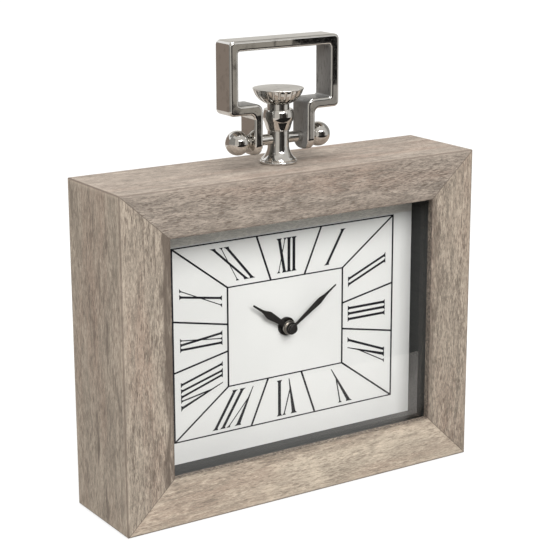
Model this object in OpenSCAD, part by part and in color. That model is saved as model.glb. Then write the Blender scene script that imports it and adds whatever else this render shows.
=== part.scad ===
// Table clock: a mitred wood case with a rectangular dial behind glass, a cast bail handle on a turned post,
// and a quartz movement that is reached through a window in the back.
// X runs to the right, Y to the back and Z up. The origin is the middle of the face that the case rests on.

/* [Case] */
// Width of the wood case
case_w = 270; // [240:1:340]
// Height of the wood case
case_h = 218.4; // [195:0.1:300]
// Depth of the wood case, front to back
case_d = 68.7; // [64:0.1:100]
// Width of a side rail, seen from the front
side_rail_w = 34.4; // [28:0.1:44]
// Width of the top rail, seen from the front
top_rail_w = 30.6; // [26:0.1:40]
// Width of the bottom rail, seen from the front
bottom_rail_w = 33; // [26:0.1:42]
// Thickness of the wood lip in front of the glass
lip_t = 4.1; // [2.5:0.1:8]
// How far the rabbet is cut back behind the lip's edge
rabbet_w = 6.7; // [5:0.1:9]
// Rounding of the outer arrises
arris_r = 1.8; // [0.5:0.1:4]

/* [Glass and dial] */
// Thickness of the glass
glass_t = 2; // [1.5:0.1:3]
// Clearance round the edge of the glass, the dial and the back panel
edge_gap = 0.3; // [0.1:0.1:0.8]
// Thickness of a black spacer
spacer_t = 4; // [2:0.1:4.8]
// Depth of the dial's face behind the front of the case
dial_depth = 25.8; // [24:0.1:32]
// Height of the dial's centre above the table
dial_z = 110; // [100:0.1:150]
// Height of the card's top edge above the dial's centre
card_rise = 65; // [55:0.1:78]
// Thickness of the printed card
card_t = 0.4; // [0.2:0.1:1]
// Thickness of the dial board
board_t = 4; // [3:0.1:6]

/* [Back] */
// Side of a retainer strip behind the dial board
retainer_w = 6; // [4:0.1:8]
// Thickness of the back panel
panel_t = 3; // [2:0.1:5]
// How far the back panel is set in from the back of the case
panel_inset = 2; // [0.5:0.1:5]
// Width of the ledge that the back panel is screwed to
ledge_w = 7; // [5:0.1:10]
// Side of the square window in the back panel
window_w = 84; // [70:1:110]
// Corner radius of the window
window_r = 4; // [1:0.5:10]
// Shank radius of a back screw
back_screw_r = 1.4; // [1:0.1:1.8]
// Length of a back screw under its head
back_screw_l = 14; // [10:0.5:20]
// Distance of the outer back screws from the middle of the case
back_screw_x = 80; // [50:1:92]

/* [Handle] */
// Height of the bail's top above the case
bail_top = 81.6; // [74:0.1:100]
// Outer width of the bail
bail_w = 83.2; // [74:0.1:110]
// Depth of the bail, front to back
bail_d = 18.4; // [13:0.1:20]
// Thickness of the bail's bars
bail_bar = 6.6; // [5:0.1:8]
// Height of the underside of the bail's lower bars above the case
bail_step_z = 34.4; // [31:0.1:38]
// Thickness of the ears that hang on the pin
ear_t = 6.2; // [4:0.1:8]
// Rounding of the bail's arrises
bail_arris = 1.8; // [0.5:0.1:2]
// Rounding of the bail's outer corners
bail_corner_r = 3.4; // [2.2:0.1:4.6]
// Clear distance between the two ears
ear_gap = 33.8; // [33.8:0.1:40]
// Height of the pin's axis above the case
pin_z = 16; // [14:0.1:18]
// Radius of the cross pin
pin_r = 3.6; // [2.5:0.05:4]
// Radial running clearance of the bail on the pin
pin_clear = 0.05; // [0.02:0.01:0.1]
// Radius of the ball nuts
ball_r = 8; // [6:0.1:9]
// Clearance between a ball nut and its ear
ball_gap = 0.3; // [0.1:0.05:0.6]
// Radius of the post's foot
foot_r = 12.1; // [10:0.1:14]
// Radius of the post's stem
stem_r = 7; // [6:0.1:8]
// Radius of the bead near the top of the post
bead_r = 10.2; // [9.2:0.1:12]
// Height of the post, up to the crown knob
post_h = 35.2; // [33:0.1:38]
// Radius of the disc on top of the crown knob
crown_r = 16.6; // [14:0.1:16.6]
// Height of the crown knob above the post
crown_h = 13.6; // [11:0.1:16]
// Number of flutes round the crown knob
flutes = 24; // [12:1:26]

/* [Hands] */
// Hour that the hands show
show_hour = 10; // [0:1:11]
// Minute that the hands show
show_minute = 9.17; // [0:0.01:59.99]
// Length of the hour hand from the centre
hour_hand_l = 33.5; // [22:0.1:38]
// Widest part of the hour hand
hour_hand_w = 5.3; // [3:0.1:8]
// Length of the minute hand from the centre
minute_hand_l = 43; // [30:0.1:60]
// Widest part of the minute hand
minute_hand_w = 3; // [2:0.1:5]
// Thickness of the hands
hand_t = 0.4; // [0.3:0.05:0.6]

/* [Movement] */
// Side of the square movement
mov_w = 56; // [56:0.5:62]
// Thickness of the movement
mov_t = 16; // [16:0.1:19]
// Wall thickness of the movement's shells
mov_wall = 1.2; // [1:0.05:1.6]
// Thickness of the gasket between the movement and the board
gasket_t = 1; // [0.5:0.1:2]
// Outer radius of the threaded bush
bush_r = 3.9; // [3.6:0.05:4.4]
// Thickness of the nut on the dial
nut_t = 2.2; // [1.5:0.1:3]
// Radius of the nut on the dial
nut_r = 6.2; // [5.5:0.1:8]
// Radius of the battery cell
cell_r = 7.1; // [6.6:0.05:7.2]
// Length of the battery cell
cell_l = 50.5; // [49:0.1:51]
// Running clearance of the movement's shafts
shaft_clear = 0.05; // [0.02:0.01:0.1]
// Radius of the setting knob
knob_r = 6; // [4:0.1:8]

/* [Hidden] */
$fn = 64;
eps = 0.01;

// Radial play of a threaded or pressed fit
fit_clear = 0.05;

// Case: the opening in front, the rabbet behind it and the wider rabbet for the back panel
front_y = -case_d / 2;
back_y = case_d / 2;
open_x = case_w / 2 - side_rail_w;
open_z0 = bottom_rail_w;
open_z1 = case_h - top_rail_w;
rab_x = open_x + rabbet_w;
rab_z0 = open_z0 - rabbet_w;
rab_z1 = open_z1 + rabbet_w;
lip_y = front_y + lip_t;
glass_y = lip_y + glass_t;
dial_y = front_y + dial_depth;
card_y = dial_y + card_t;
board_y = card_y + board_t;
panel_out_y = back_y - panel_inset;
ledge_y = panel_out_y - panel_t;

// Screws in the back panel
back_screw_clear = 0.3;
back_screw_head_r = 2.1 * back_screw_r;
back_screw_head_t = 0.5 * panel_inset + 0.6;
recess_w = 0.5;
recess_t = 0.7;
back_screw_mid_x = rab_x + ledge_w / 2;
back_screw_top_z = rab_z1 + ledge_w / 2;
back_screw_bottom_z = rab_z0 - ledge_w / 2;
back_screw_at = [
    [-back_screw_x, back_screw_top_z], [back_screw_x, back_screw_top_z],
    [-back_screw_x, back_screw_bottom_z], [back_screw_x, back_screw_bottom_z],
    [-back_screw_mid_x, case_h / 2], [back_screw_mid_x, case_h / 2]
];

// Screw that holds the post from inside the case
m5_r = 2.5;
m5_hole_r = m5_r + 0.3;
m5_tip_gap = 2.2;
m5_reach = pin_z - pin_r - m5_tip_gap;
m5_head_r = 4.2;
m5_head_t = 3.2;
m5_socket_r = 2.1;
m5_socket_t = 1.6;
washer_r = 6.5;
washer_t = 1;
sink_gap = 0.8;
sink_lift = 8;
sink_r = washer_r + sink_gap;
sink_z = rab_z1 + sink_lift;

// Post and crown knob, heights above the case
foot_t = 2.2;
flare_r = 12;
neck_ring_z = 21.9;
neck_ring_r = 0.5;
cup_z = 22.4;
cup_top_r = 9.2;
cup_r = 7.8;
bead_curve_r = 9.3;
bead_z = 31;
bead_half = 3.6;
neck_r = 7.2;
spigot_r = 3;
spigot_l = 8;
skirt_z = post_h + 3.5;
disc_t = 0.8;
crown_top = post_h + crown_h;
disc_z = crown_top - disc_t;
skirt_curve_r = 14;
skirt_low = [neck_r, skirt_z];
skirt_high = [crown_r - 0.3, disc_z];
skirt_chord = skirt_high - skirt_low;
skirt_rise = sqrt(skirt_curve_r * skirt_curve_r - (skirt_chord * skirt_chord) / 4);
skirt_normal = [-skirt_chord[1], skirt_chord[0]] / norm(skirt_chord);
skirt_centre = (skirt_low + skirt_high) / 2 + skirt_rise * skirt_normal;
flute_run_out = 4;
flute_radii = [0.4, 0.8, 1.15];

// Bail, across the ears and bars
ear_in = ear_gap / 2;
ear_out = ear_in + ear_t;
ball_face = ear_out + ball_gap;
ball_x = ball_face + 0.95 * ball_r;
pin_half = ball_x - 0.4 * ball_r;
step_top = bail_step_z + bail_bar;
bail_x = bail_w / 2;
bail_fillet_r = 1.4;
ear_fillet_r = 3.2;
ear_corner_r = 0.75 * bail_bar;
ear_drop = 0.46 * bail_d;
ear_foot_r = 0.4 * bail_d;
elbow_in = 0.4;

// Movement, front to back
mov_y = board_y + gasket_t;
mov_back = mov_y + mov_t;
inner_y0 = mov_y + mov_wall;
inner_y1 = mov_back - mov_wall;
split_depth = 6;
shell_split = mov_y + split_depth;
tongue_t = 0.8;
tongue_l = 1.5;
shell_r = 3;
arbor_r = 0.5;
pivot_depth = 0.8;
pivot_gap = 0.1;
pivot_y0 = inner_y0 - pivot_depth + pivot_gap;
pivot_y1 = inner_y1 + pivot_depth - pivot_gap;
thread_over = 0.45;
bush_front = dial_y - nut_t - thread_over;
hole_gap = 0.3;

// Hands and what holds them; each "out" is a distance in front of the dial's face, and each "spread"
// gives where a blade is widest and where it ends in its waist, as shares of its length
hour_out = 4.05;
hour_pipe_out = 5.5;
minute_out = 7.25;
hour_pipe_r = 2.5;
hour_plate_y = dial_y - hour_out;
hour_collet_r = 4.8;
collet_flange_t = 0.6;
collet_sleeve_r = 3.4;
collet_step = 0.4;
collet_over = 0.2;
hour_pipe_front = dial_y - hour_pipe_out;
minute_tube_r = 1.6;
minute_plate_y = dial_y - minute_out;
minute_boss_r = 4.2;
blade_tip = 0.16;
hour_base = 1.4;
hour_waist = 0.42;
minute_base = 0.5;
minute_waist = 0.36;
hour_spread = [0.555, 0.735];
minute_spread = [0.64, 0.81];
minute_boss_t = 0.8;
minute_nut_t = 0.8;
cap_r = 3;
cap_t = 1.55;
cap_wall = 1;
cap_bevel = 0.4;
tube_front = minute_plate_y - minute_boss_t / 2 - minute_nut_t - thread_over;
minute_angle = 6 * show_minute;
hour_angle = 30 * show_hour + show_minute / 2;

// Gear teeth in modules: addendum, dedendum, and the widths at root, pitch circle and tip
wheel_tooth = [0.85, 1.2, 1.7, 1.25, 0.55];
leaf_tooth = [0.75, 1.15, 1.3, 1.05, 0.5];

// Cut-outs in a wheel's web, as shares of its pitch radius: their own radius and how far out they lie
web_hole = [0.2, 0.56];

// Motion work: minute leaves to motion wheel, motion leaves to hour wheel, on one centre distance
minute_leaves = 12;
motion_teeth = 36;
motion_leaves = 10;
hour_teeth = 40;
motion_m = 0.44;
motion_d = motion_m * (minute_leaves + motion_teeth) / 2;
hour_m = 2 * motion_d / (motion_leaves + hour_teeth);

// Going train: rotor to fifth, fourth, third and centre wheel
train_leaves = 8;
leaf_core = 0.3;
third_core = 0.34;
centre_teeth = 64;
third_teeth = 60;
fourth_teeth = 32;
fifth_teeth = 60;
third_m = 0.3;
third_d = third_m * (third_teeth + train_leaves) / 2;
centre_m = 2 * third_d / (centre_teeth + train_leaves);
fourth_m = 0.52;
fifth_d = fourth_m * (fourth_teeth + train_leaves) / 2;
fifth_m = 0.25;
rotor_d = fifth_m * (fifth_teeth + train_leaves) / 2;
rotor_dir = 20;
motion_at = [motion_d, 0];
third_at = [-third_d, 0];
fifth_at = [0, fifth_d];
rotor_at = fifth_at + rotor_d * [cos(rotor_dir), sin(rotor_dir)];

// Thickness of wheels and leaves; those of the motion work are heavier
wheel_t = 0.6;
leaf_t = 1;
centre_wheel_t = 0.8;
motion_wheel_t = 1;
motion_leaf_t = 1.4;
motion_hub_r = 1.4;

// Layers of the train, one behind the other; each wheel runs in the middle of the leaves that it meets
layer_gap = 0.4;
front_gap = 0.25;
end_shake = 0.2;
tube_gap = 0.3;
motion_leaf_y = inner_y0 + front_gap;
minute_leaf_y = motion_leaf_y + motion_leaf_t + layer_gap;
third_leaf_y = minute_leaf_y + motion_leaf_t + layer_gap;
tube_back = third_leaf_y + leaf_t + end_shake;
fourth_leaf_y = tube_back + tube_gap;
fifth_leaf_y = fourth_leaf_y + leaf_t + layer_gap;
rotor_leaf_y = fifth_leaf_y + leaf_t + layer_gap;
hour_wheel_y = motion_leaf_y + (motion_leaf_t - motion_wheel_t) / 2;
motion_wheel_y = minute_leaf_y + (motion_leaf_t - motion_wheel_t) / 2;
centre_wheel_y = third_leaf_y + (leaf_t - centre_wheel_t) / 2;
third_wheel_y = fourth_leaf_y + (leaf_t - wheel_t) / 2;
fourth_wheel_y = fifth_leaf_y + (leaf_t - wheel_t) / 2;
fifth_wheel_y = rotor_leaf_y + (leaf_t - wheel_t) / 2;
magnet_y = rotor_leaf_y + leaf_t + end_shake;
magnet_r = 2.7;
magnet_t = 2.2;
second_arbor_r = 0.7;
second_arbor_in = 0.2;
motion_arbor_r = 0.8;

// Stepper stator and coil, distances from the centre
stator_t = 0.8;
stator_y = magnet_y + (magnet_t - stator_t) / 2 - 0.1;
stator_hole_r = 3.3;
stator_arbor_gap = 0.5;
stator_half_w = 13;
stator_leg = 2.4;
stator_half_h = 3.6;
stator_bar = [rotor_at[1] - stator_half_h, rotor_at[1] + stator_half_h];
core_in = 5;
core_z = mov_w / 2 - core_in;
core_h = 2;
coil_r = 2.9;
coil_half = 9;
flange_r = 3.1;
flange_t = 1;
bobbin_r = 1.8;

// Battery bay under the train
bay_clear = 0.4;
cell_under = 0.7;
cell_front = 0.25;
cell_z = -mov_w / 2 + mov_wall + cell_under + cell_r;
cell_y = inner_y0 + cell_front + cell_r;
bay_wall_z = cell_z + cell_r + bay_clear;
bay_wall_t = 1;
bay_edge = 0.6;
bay_half = mov_w / 2 - mov_wall;
nub_r = 2.7;
nub_l = 1;
contact_t = 0.4;
contact_w = 4;
contact_h = 9;

// Circuit board on two pegs of the cover
pcb_t = 1;
pcb_side_gap = 0.5;
pcb_low_gap = 1.6;
pcb_back_gap = 2;
chip_up = 0.3;
crystal_up = 0.72;
pcb_x0 = -mov_w / 2 + mov_wall + tongue_t + pcb_side_gap;
pcb_w = 12.5;
pcb_z0 = bay_wall_z + bay_wall_t + pcb_low_gap;
pcb_h = 25;
pcb_y = inner_y1 - pcb_back_gap;
peg_r = 1;
peg_in = 3;
chip_r = 3;
chip_t = 0.9;
crystal_r = 1;
crystal_l = 6;

// Setting knob behind the cover
knob_gap = 0.4;
knob_t = 4;
knob_y = mov_back + knob_gap;
knob_grooves = 24;
knob_groove_r = 0.4;
knob_skin = 1;
knob_end_gap = 0.2;

wood = "#A79A8B";
metal = "#C9C5BE";
black = "#242424";
resin = "#E9E6DC";
steel = "#9A9A9A";

// Extrudes an XZ outline from y0 to y1
module along_y(y0, y1) {
    translate([0, y1, 0]) rotate([90, 0, 0]) linear_extrude(y1 - y0) children();
}

// Extrudes a YZ outline from x0 to x1
module along_x(x0, x1) {
    translate([x0, 0, 0]) rotate([90, 0, 90]) linear_extrude(x1 - x0) children();
}

// Cylinder along Y, at [x, z]
module rod_y(r, y0, y1, at = [0, 0]) {
    translate([at[0], y1, at[1]]) rotate([90, 0, 0]) cylinder(r = r, h = y1 - y0);
}

// Cylinder along X at height z
module rod_x(r, x0, x1, y = 0, z = 0) {
    translate([x0, y, z]) rotate([0, 90, 0]) cylinder(r = r, h = x1 - x0);
}

// Box from its lowest to its highest corner
module box(lo, hi) {
    translate(lo) cube(hi - lo);
}

// Rectangle with true round corners, centred
module soft_rect(w, h, r) {
    square([w - 2 * r, h], center = true);
    square([w, h - 2 * r], center = true);
    for (x = [-1, 1], y = [-1, 1])
        translate([x * (w / 2 - r), y * (h / 2 - r)]) circle(r = r);
}

// The case before it is hollowed: a block with all its arrises eased
module case_block() {
    intersection() {
        along_y(front_y, back_y) translate([0, case_h / 2]) soft_rect(case_w, case_h, arris_r);
        along_x(-case_w / 2, case_w / 2) translate([0, case_h / 2]) soft_rect(case_d, case_h, arris_r);
        linear_extrude(case_h) soft_rect(case_w, case_d, arris_r);
    }
}

// Rabbet for glass, spacers and dial, the wider one for the back panel, and the back screws' holes
module case_hollow() {
    box([-rab_x, lip_y, rab_z0], [rab_x, back_y + 1, rab_z1]);
    box([-rab_x - ledge_w, ledge_y, rab_z0 - ledge_w], [rab_x + ledge_w, back_y + 1, rab_z1 + ledge_w]);
    for (p = back_screw_at)
        rod_y(back_screw_r + eps, panel_out_y - back_screw_l - 1, ledge_y + eps, p);
}

// One rail: the part of the case between two mitres
module rail(outline) {
    color(wood) difference() {
        intersection() {
            case_block();
            along_y(front_y - 1, back_y + 1) polygon(outline);
        }
        case_hollow();
    }
}

module top_rail() {
    difference() {
        rail([[-case_w / 2, case_h], [case_w / 2, case_h], [open_x, open_z1], [-open_x, open_z1]]);
        translate([0, 0, rab_z1 - 1]) cylinder(r = m5_hole_r, h = case_h - rab_z1 + 2);
        translate([0, 0, rab_z1 - 1]) cylinder(r = sink_r, h = sink_z - rab_z1 + 1);
    }
}

module bottom_rail() {
    rail([[-case_w / 2, 0], [case_w / 2, 0], [open_x, open_z0], [-open_x, open_z0]]);
}

module side_rail(side) {
    x_out = side * case_w / 2;
    x_in = side * open_x;
    rail([[x_out, 0], [x_out, case_h], [x_in, open_z1], [x_in, open_z0]]);
}

module glass_pane() {
    color("#CFE0E4", 0.3)
        box([-rab_x + edge_gap, lip_y, rab_z0 + edge_gap], [rab_x - edge_gap, glass_y, rab_z1 - edge_gap]);
}

// Black strips that line the box between the glass and the dial
module spacer_top() {
    color(black) box([-rab_x, glass_y, rab_z1 - spacer_t], [rab_x, dial_y, rab_z1]);
}

module spacer_bottom() {
    color(black) box([-rab_x, glass_y, rab_z0], [rab_x, dial_y, rab_z0 + spacer_t]);
}

module spacer_side(side) {
    x = side > 0 ? rab_x - spacer_t : -rab_x;
    color(black) box([x, glass_y, rab_z0 + spacer_t], [x + spacer_t, dial_y, rab_z1 - spacer_t]);
}

module dial_card() {
    color("#F1F0EC") difference() {
        box([-rab_x + edge_gap, dial_y, rab_z0 + edge_gap], [rab_x - edge_gap, card_y, dial_z + card_rise]);
        rod_y(bush_r + hole_gap, dial_y - 1, card_y + 1, [0, dial_z]);
    }
}

module dial_board() {
    color("#8A8780") difference() {
        box([-rab_x + edge_gap, card_y, rab_z0 + edge_gap], [rab_x - edge_gap, board_y, rab_z1 - edge_gap]);
        rod_y(bush_r + hole_gap, card_y - 1, board_y + 1, [0, dial_z]);
    }
}

// Strips pinned to the rails behind the dial board
module retainer_level(z0) {
    color(wood) box([-rab_x, board_y, z0], [rab_x, board_y + retainer_w, z0 + retainer_w]);
}

module retainer_side(side) {
    x = side > 0 ? rab_x - retainer_w : -rab_x;
    color(wood)
        box([x, board_y, rab_z0 + retainer_w], [x + retainer_w, board_y + retainer_w, rab_z1 - retainer_w]);
}

module back_panel() {
    reach = ledge_w - edge_gap;
    color("#4B4741") difference() {
        box([-rab_x - reach, ledge_y, rab_z0 - reach], [rab_x + reach, panel_out_y, rab_z1 + reach]);
        along_y(ledge_y - 1, panel_out_y + 1) translate([0, dial_z]) soft_rect(window_w, window_w, window_r);
        for (p = back_screw_at)
            rod_y(back_screw_r + back_screw_clear, ledge_y - 1, panel_out_y + 1, p);
    }
}

// Pan head screw with a cross recess, pointing to the front, its seat at y = 0
module pan_screw() {
    difference() {
        union() {
            rod_y(back_screw_head_r, 0, back_screw_head_t);
            rod_y(back_screw_r, -back_screw_l + back_screw_r, eps);
            translate([0, -back_screw_l + back_screw_r, 0])
                rotate([90, 0, 0]) cylinder(r1 = back_screw_r, r2 = 0.1, h = back_screw_r);
        }
        for (a = [0, 90])
            rotate([0, a, 0])
                box([-back_screw_r, back_screw_head_t - recess_t, -recess_w / 2],
                    [back_screw_r, back_screw_head_t + 1, recess_w / 2]);
    }
}

module back_screws() {
    color(steel) for (p = back_screw_at)
        translate([p[0], panel_out_y, p[1]]) pan_screw();
}

// Half outline of the post: foot, flare, stem, ring, cup and bead
module post_outline() {
    difference() {
        union() {
            square([foot_r - foot_t / 2, foot_t]);
            translate([foot_r - foot_t / 2, foot_t / 2]) circle(r = foot_t / 2);
            difference() {
                square([foot_r - foot_t / 3, flare_r]);
                translate([stem_r + flare_r, flare_r]) circle(r = flare_r);
            }
            square([stem_r, post_h]);
            translate([stem_r, neck_ring_z]) circle(r = neck_ring_r);
            polygon([[0, cup_z], [cup_r, cup_z], [cup_top_r, bead_z - bead_half], [0, bead_z - bead_half]]);
            intersection() {
                translate([bead_r - bead_curve_r, bead_z]) circle(r = bead_curve_r);
                translate([0, bead_z - bead_half]) square([bead_r, post_h - bead_z + bead_half]);
            }
        }
        translate([-foot_r, -1]) square([foot_r, post_h + 2]);
    }
}

module handle_post() {
    color(metal) translate([0, 0, case_h]) difference() {
        rotate_extrude() post_outline();
        rod_x(pin_r + fit_clear, -bead_r, bead_r, 0, pin_z);
        translate([0, 0, -1]) cylinder(r = m5_r + fit_clear, h = m5_reach + 1.5);
        translate([0, 0, post_h - spigot_l - 0.5]) cylinder(r = spigot_r + fit_clear, h = spigot_l + 1);
    }
}

// Half outline of the crown's skirt, a bowl whose curve runs from the neck to the disc's edge
module skirt_outline() {
    intersection() {
        translate(skirt_centre) circle(r = skirt_curve_r);
        translate([0, skirt_z]) square([crown_r, disc_z - skirt_z + eps]);
    }
}

// Tool that cuts one flute: two tapered lengths that follow the bowl's curve up to the disc
module flute_tool() {
    turns = [for (p = [skirt_low, skirt_high]) let (d = p - skirt_centre) atan2(d[1], d[0])];
    bend = [turns[0] - flute_run_out, (turns[0] + turns[1]) / 2, turns[1] + flute_run_out];
    path = [for (a = bend) skirt_centre + skirt_curve_r * [cos(a), sin(a)]];
    for (i = [0, 1]) {
        step = path[i + 1] - path[i];
        translate([path[i][0], 0, path[i][1]]) rotate([0, atan2(step[0], step[1]), 0])
            cylinder(r1 = flute_radii[i], r2 = flute_radii[i + 1], h = norm(step));
    }
}

module crown_knob() {
    color(metal) translate([0, 0, case_h]) {
        difference() {
            rotate_extrude() skirt_outline();
            for (i = [0 : flutes - 1])
                rotate([0, 0, 360 * i / flutes]) flute_tool();
        }
        rotate_extrude() {
            translate([0, disc_z]) square([crown_r - disc_t / 2, disc_t]);
            intersection() {
                translate([crown_r - disc_t / 2, disc_z + disc_t / 2]) circle(r = disc_t / 2);
                translate([0, disc_z]) square([crown_r, disc_t]);
            }
        }
        translate([0, 0, post_h]) cylinder(r = neck_r, h = skirt_z - post_h + eps);
        translate([0, 0, post_h - spigot_l]) cylinder(r = spigot_r, h = spigot_l + eps);
    }
}

module cross_pin() {
    color(metal) translate([0, 0, case_h]) rod_x(pin_r, -pin_half, pin_half, 0, pin_z);
}

// Domed nut on the pin's end, flat where it faces the ear
module ball_nut(side) {
    color(metal) translate([0, 0, case_h + pin_z]) rotate([0, side * 90, 0]) difference() {
        rotate_extrude() intersection() {
            translate([0, ball_x]) circle(r = ball_r);
            translate([0, ball_face]) square([ball_r, 2 * ball_r]);
        }
        translate([0, 0, ball_face - 1]) cylinder(r = pin_r + fit_clear, h = pin_half + 1.5 - ball_face);
    }
}

module handle_washer() {
    color(steel) translate([0, 0, sink_z - washer_t]) difference() {
        cylinder(r = washer_r, h = washer_t);
        translate([0, 0, -1]) cylinder(r = m5_hole_r, h = washer_t + 2);
    }
}

module handle_screw() {
    head_z = sink_z - washer_t - m5_head_t;
    color(steel) difference() {
        union() {
            translate([0, 0, head_z]) cylinder(r = m5_head_r, h = m5_head_t);
            translate([0, 0, head_z + m5_head_t - eps])
                cylinder(r = m5_r, h = case_h + m5_reach - sink_z + washer_t);
        }
        translate([0, 0, head_z - 1]) cylinder(r = m5_socket_r, h = 1 + m5_socket_t, $fn = 6);
    }
}

// Bars of the bail have one section: a rectangle with eased arrises
module bar_up(x0, x1, z0, z1) {
    translate([(x0 + x1) / 2, 0, z0]) linear_extrude(z1 - z0) soft_rect(x1 - x0, bail_d, bail_arris);
}

module bar_across(x0, x1, z0, z1) {
    translate([x0, 0, (z0 + z1) / 2]) rotate([0, 90, 0])
        linear_extrude(x1 - x0) soft_rect(z1 - z0, bail_d, bail_arris);
}

// Round outer corner: the section's outer part turned through a quarter, from the direction a
module bar_corner(x, z, r, a) {
    translate([x, 0, z]) rotate([90, 0, 0]) rotate([0, 0, a]) rotate_extrude(angle = 90) intersection() {
        soft_rect(2 * r, bail_d, bail_arris);
        translate([0, -bail_d]) square([r, 2 * bail_d]);
    }
}

// Round inner corner: the section turned through a quarter about a point in the open space
module bar_elbow(x, z, r, a) {
    w = min(bail_bar, ear_t) - elbow_in;
    translate([x, 0, z]) rotate([90, 0, 0]) rotate([0, 0, a]) rotate_extrude(angle = 90)
        translate([r + w / 2, 0]) soft_rect(w, bail_d, bail_arris);
}

// Foot of an ear below the pin, with round corners
module ear_foot() {
    foot_z = pin_z - ear_drop + ear_foot_r;
    half = bail_d / 2 - ear_foot_r;
    translate([(ear_in + ear_out) / 2, 0, 0]) {
        for (side = [0, 180])
            rotate([0, 0, side]) translate([0, half, foot_z]) rotate([90, 0, 90]) rotate([0, 0, 270])
                rotate_extrude(angle = 90) intersection() {
                    soft_rect(2 * ear_foot_r, ear_t, bail_arris);
                    translate([0, -ear_t]) square([ear_foot_r, 2 * ear_t]);
                }
        translate([0, half, pin_z]) rotate([90, 0, 0])
            linear_extrude(2 * half) soft_rect(ear_t, 2 * ear_drop, bail_arris);
    }
}

// One half of the bail: half the top bar, a side, a lower bar and an ear with a round foot
module bail_half() {
    side_in = bail_x - bail_bar;
    top_in = bail_top - bail_bar;
    bc = bail_corner_r;
    ec = ear_corner_r;
    bar_across(0, bail_x - bc, top_in, bail_top);
    bar_up(side_in, bail_x, bail_step_z + bc, bail_top - bc);
    bar_across(ear_in + ec, bail_x - bc, bail_step_z, step_top);
    bar_up(ear_in, ear_out, pin_z - ear_drop + ear_foot_r, step_top - ec);
    bar_corner(bail_x - bc, bail_top - bc, bc, 0);
    bar_corner(bail_x - bc, bail_step_z + bc, bc, 270);
    bar_corner(ear_in + ec, step_top - ec, ec, 90);
    bar_elbow(side_in - bail_fillet_r, top_in - bail_fillet_r, bail_fillet_r, 0);
    bar_elbow(side_in - bail_fillet_r, step_top + bail_fillet_r, bail_fillet_r, 270);
    bar_elbow(ear_out + ear_fillet_r, bail_step_z - ear_fillet_r, ear_fillet_r, 90);
    ear_foot();
}

module bail_handle() {
    color(metal) translate([0, 0, case_h]) difference() {
        union() {
            bail_half();
            mirror([1, 0, 0]) bail_half();
        }
        rod_x(pin_r + pin_clear, -ear_out - 1, ear_out + 1, 0, pin_z);
    }
}

module gasket() {
    color(black) difference() {
        rod_y(3 * bush_r, board_y, mov_y, [0, dial_z]);
        rod_y(bush_r + hole_gap, board_y - 1, mov_y + 1, [0, dial_z]);
    }
}

module at_centre() {
    translate([0, 0, dial_z]) children();
}

// Outline of the movement, drawn in by d
module shell_outline(d) {
    soft_rect(mov_w - 2 * d, mov_w - 2 * d, shell_r - d);
}

// Blind holes that the arbors turn in
module pivot_holes(y0, y1) {
    for (at = [[0, 0], third_at, fifth_at, rotor_at])
        rod_y(arbor_r + shaft_clear, y0, y1, at);
    rod_y(motion_arbor_r + shaft_clear, y0, y1, motion_at);
}

// Wall between the battery bay and the wheels
module bay_wall(y0, y1) {
    box([-bay_half - eps, y0, bay_wall_z], [bay_half + eps, y1, bay_wall_z + bay_wall_t]);
}

module movement_case() {
    color("#2B2B2B") at_centre() difference() {
        union() {
            difference() {
                along_y(mov_y, shell_split) shell_outline(0);
                along_y(inner_y0, shell_split + 1) shell_outline(mov_wall);
            }
            bay_wall(inner_y0 - eps, shell_split - tongue_l);
            rod_y(bush_r, bush_front, mov_y + eps);
        }
        rod_y(hour_pipe_r + shaft_clear, bush_front - 1, inner_y0 + eps);
        for (at = [third_at, fifth_at, rotor_at])
            rod_y(arbor_r + shaft_clear, inner_y0 - pivot_depth, inner_y0 + 1, at);
        rod_y(motion_arbor_r + shaft_clear, inner_y0 - pivot_depth, inner_y0 + 1, motion_at);
    }
}

module movement_cover() {
    bay_top = bay_wall_z - bay_clear;
    bay_low = cell_z - cell_r - bay_clear;
    color("#2B2B2B") at_centre() difference() {
        union() {
            difference() {
                along_y(shell_split, mov_back) shell_outline(0);
                along_y(shell_split - 1, inner_y1) shell_outline(mov_wall);
            }
            difference() {
                along_y(shell_split - tongue_l, shell_split + 1) shell_outline(mov_wall + shaft_clear);
                along_y(shell_split - tongue_l - 1, shell_split + 2) shell_outline(mov_wall + tongue_t);
            }
            bay_wall(shell_split, inner_y1 + eps);
            for (z = [pcb_z0 + peg_in, pcb_z0 + pcb_h - peg_in])
                rod_y(peg_r, pcb_y + pcb_t, inner_y1 + eps, [pcb_x0 + pcb_w / 2, z]);
            for (x = [-1, 1])
                rod_y(peg_r, stator_y + stator_t, inner_y1 + eps,
                    [x * (stator_half_w - stator_leg / 2), stator_bar[0] + stator_leg / 2]);
        }
        box([-bay_half + bay_edge, inner_y1 - 1, bay_low], [bay_half - bay_edge, mov_back + 1, bay_top]);
        for (at = [[0, 0], third_at, fifth_at, rotor_at])
            rod_y(arbor_r + shaft_clear, inner_y1 - 1, inner_y1 + pivot_depth, at);
        rod_y(motion_arbor_r + shaft_clear, inner_y1 - 1, mov_back + 1, motion_at);
    }
}

// Round nut with two slots for a pin spanner
module fixing_nut() {
    slot = 1.4;
    bevel = 0.6;
    color(black) at_centre() difference() {
        union() {
            rod_y(nut_r, dial_y - nut_t + bevel, dial_y);
            translate([0, dial_y - nut_t + bevel, 0])
                rotate([90, 0, 0]) cylinder(r1 = nut_r, r2 = nut_r - bevel, h = bevel);
        }
        rod_y(bush_r + fit_clear, dial_y - nut_t - 1, dial_y + 1);
        for (s = [-1, 1])
            box([s * nut_r - slot / 2, dial_y - nut_t - 1, -slot / 2],
                [s * nut_r + slot / 2, dial_y - 1, slot / 2]);
    }
}

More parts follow.
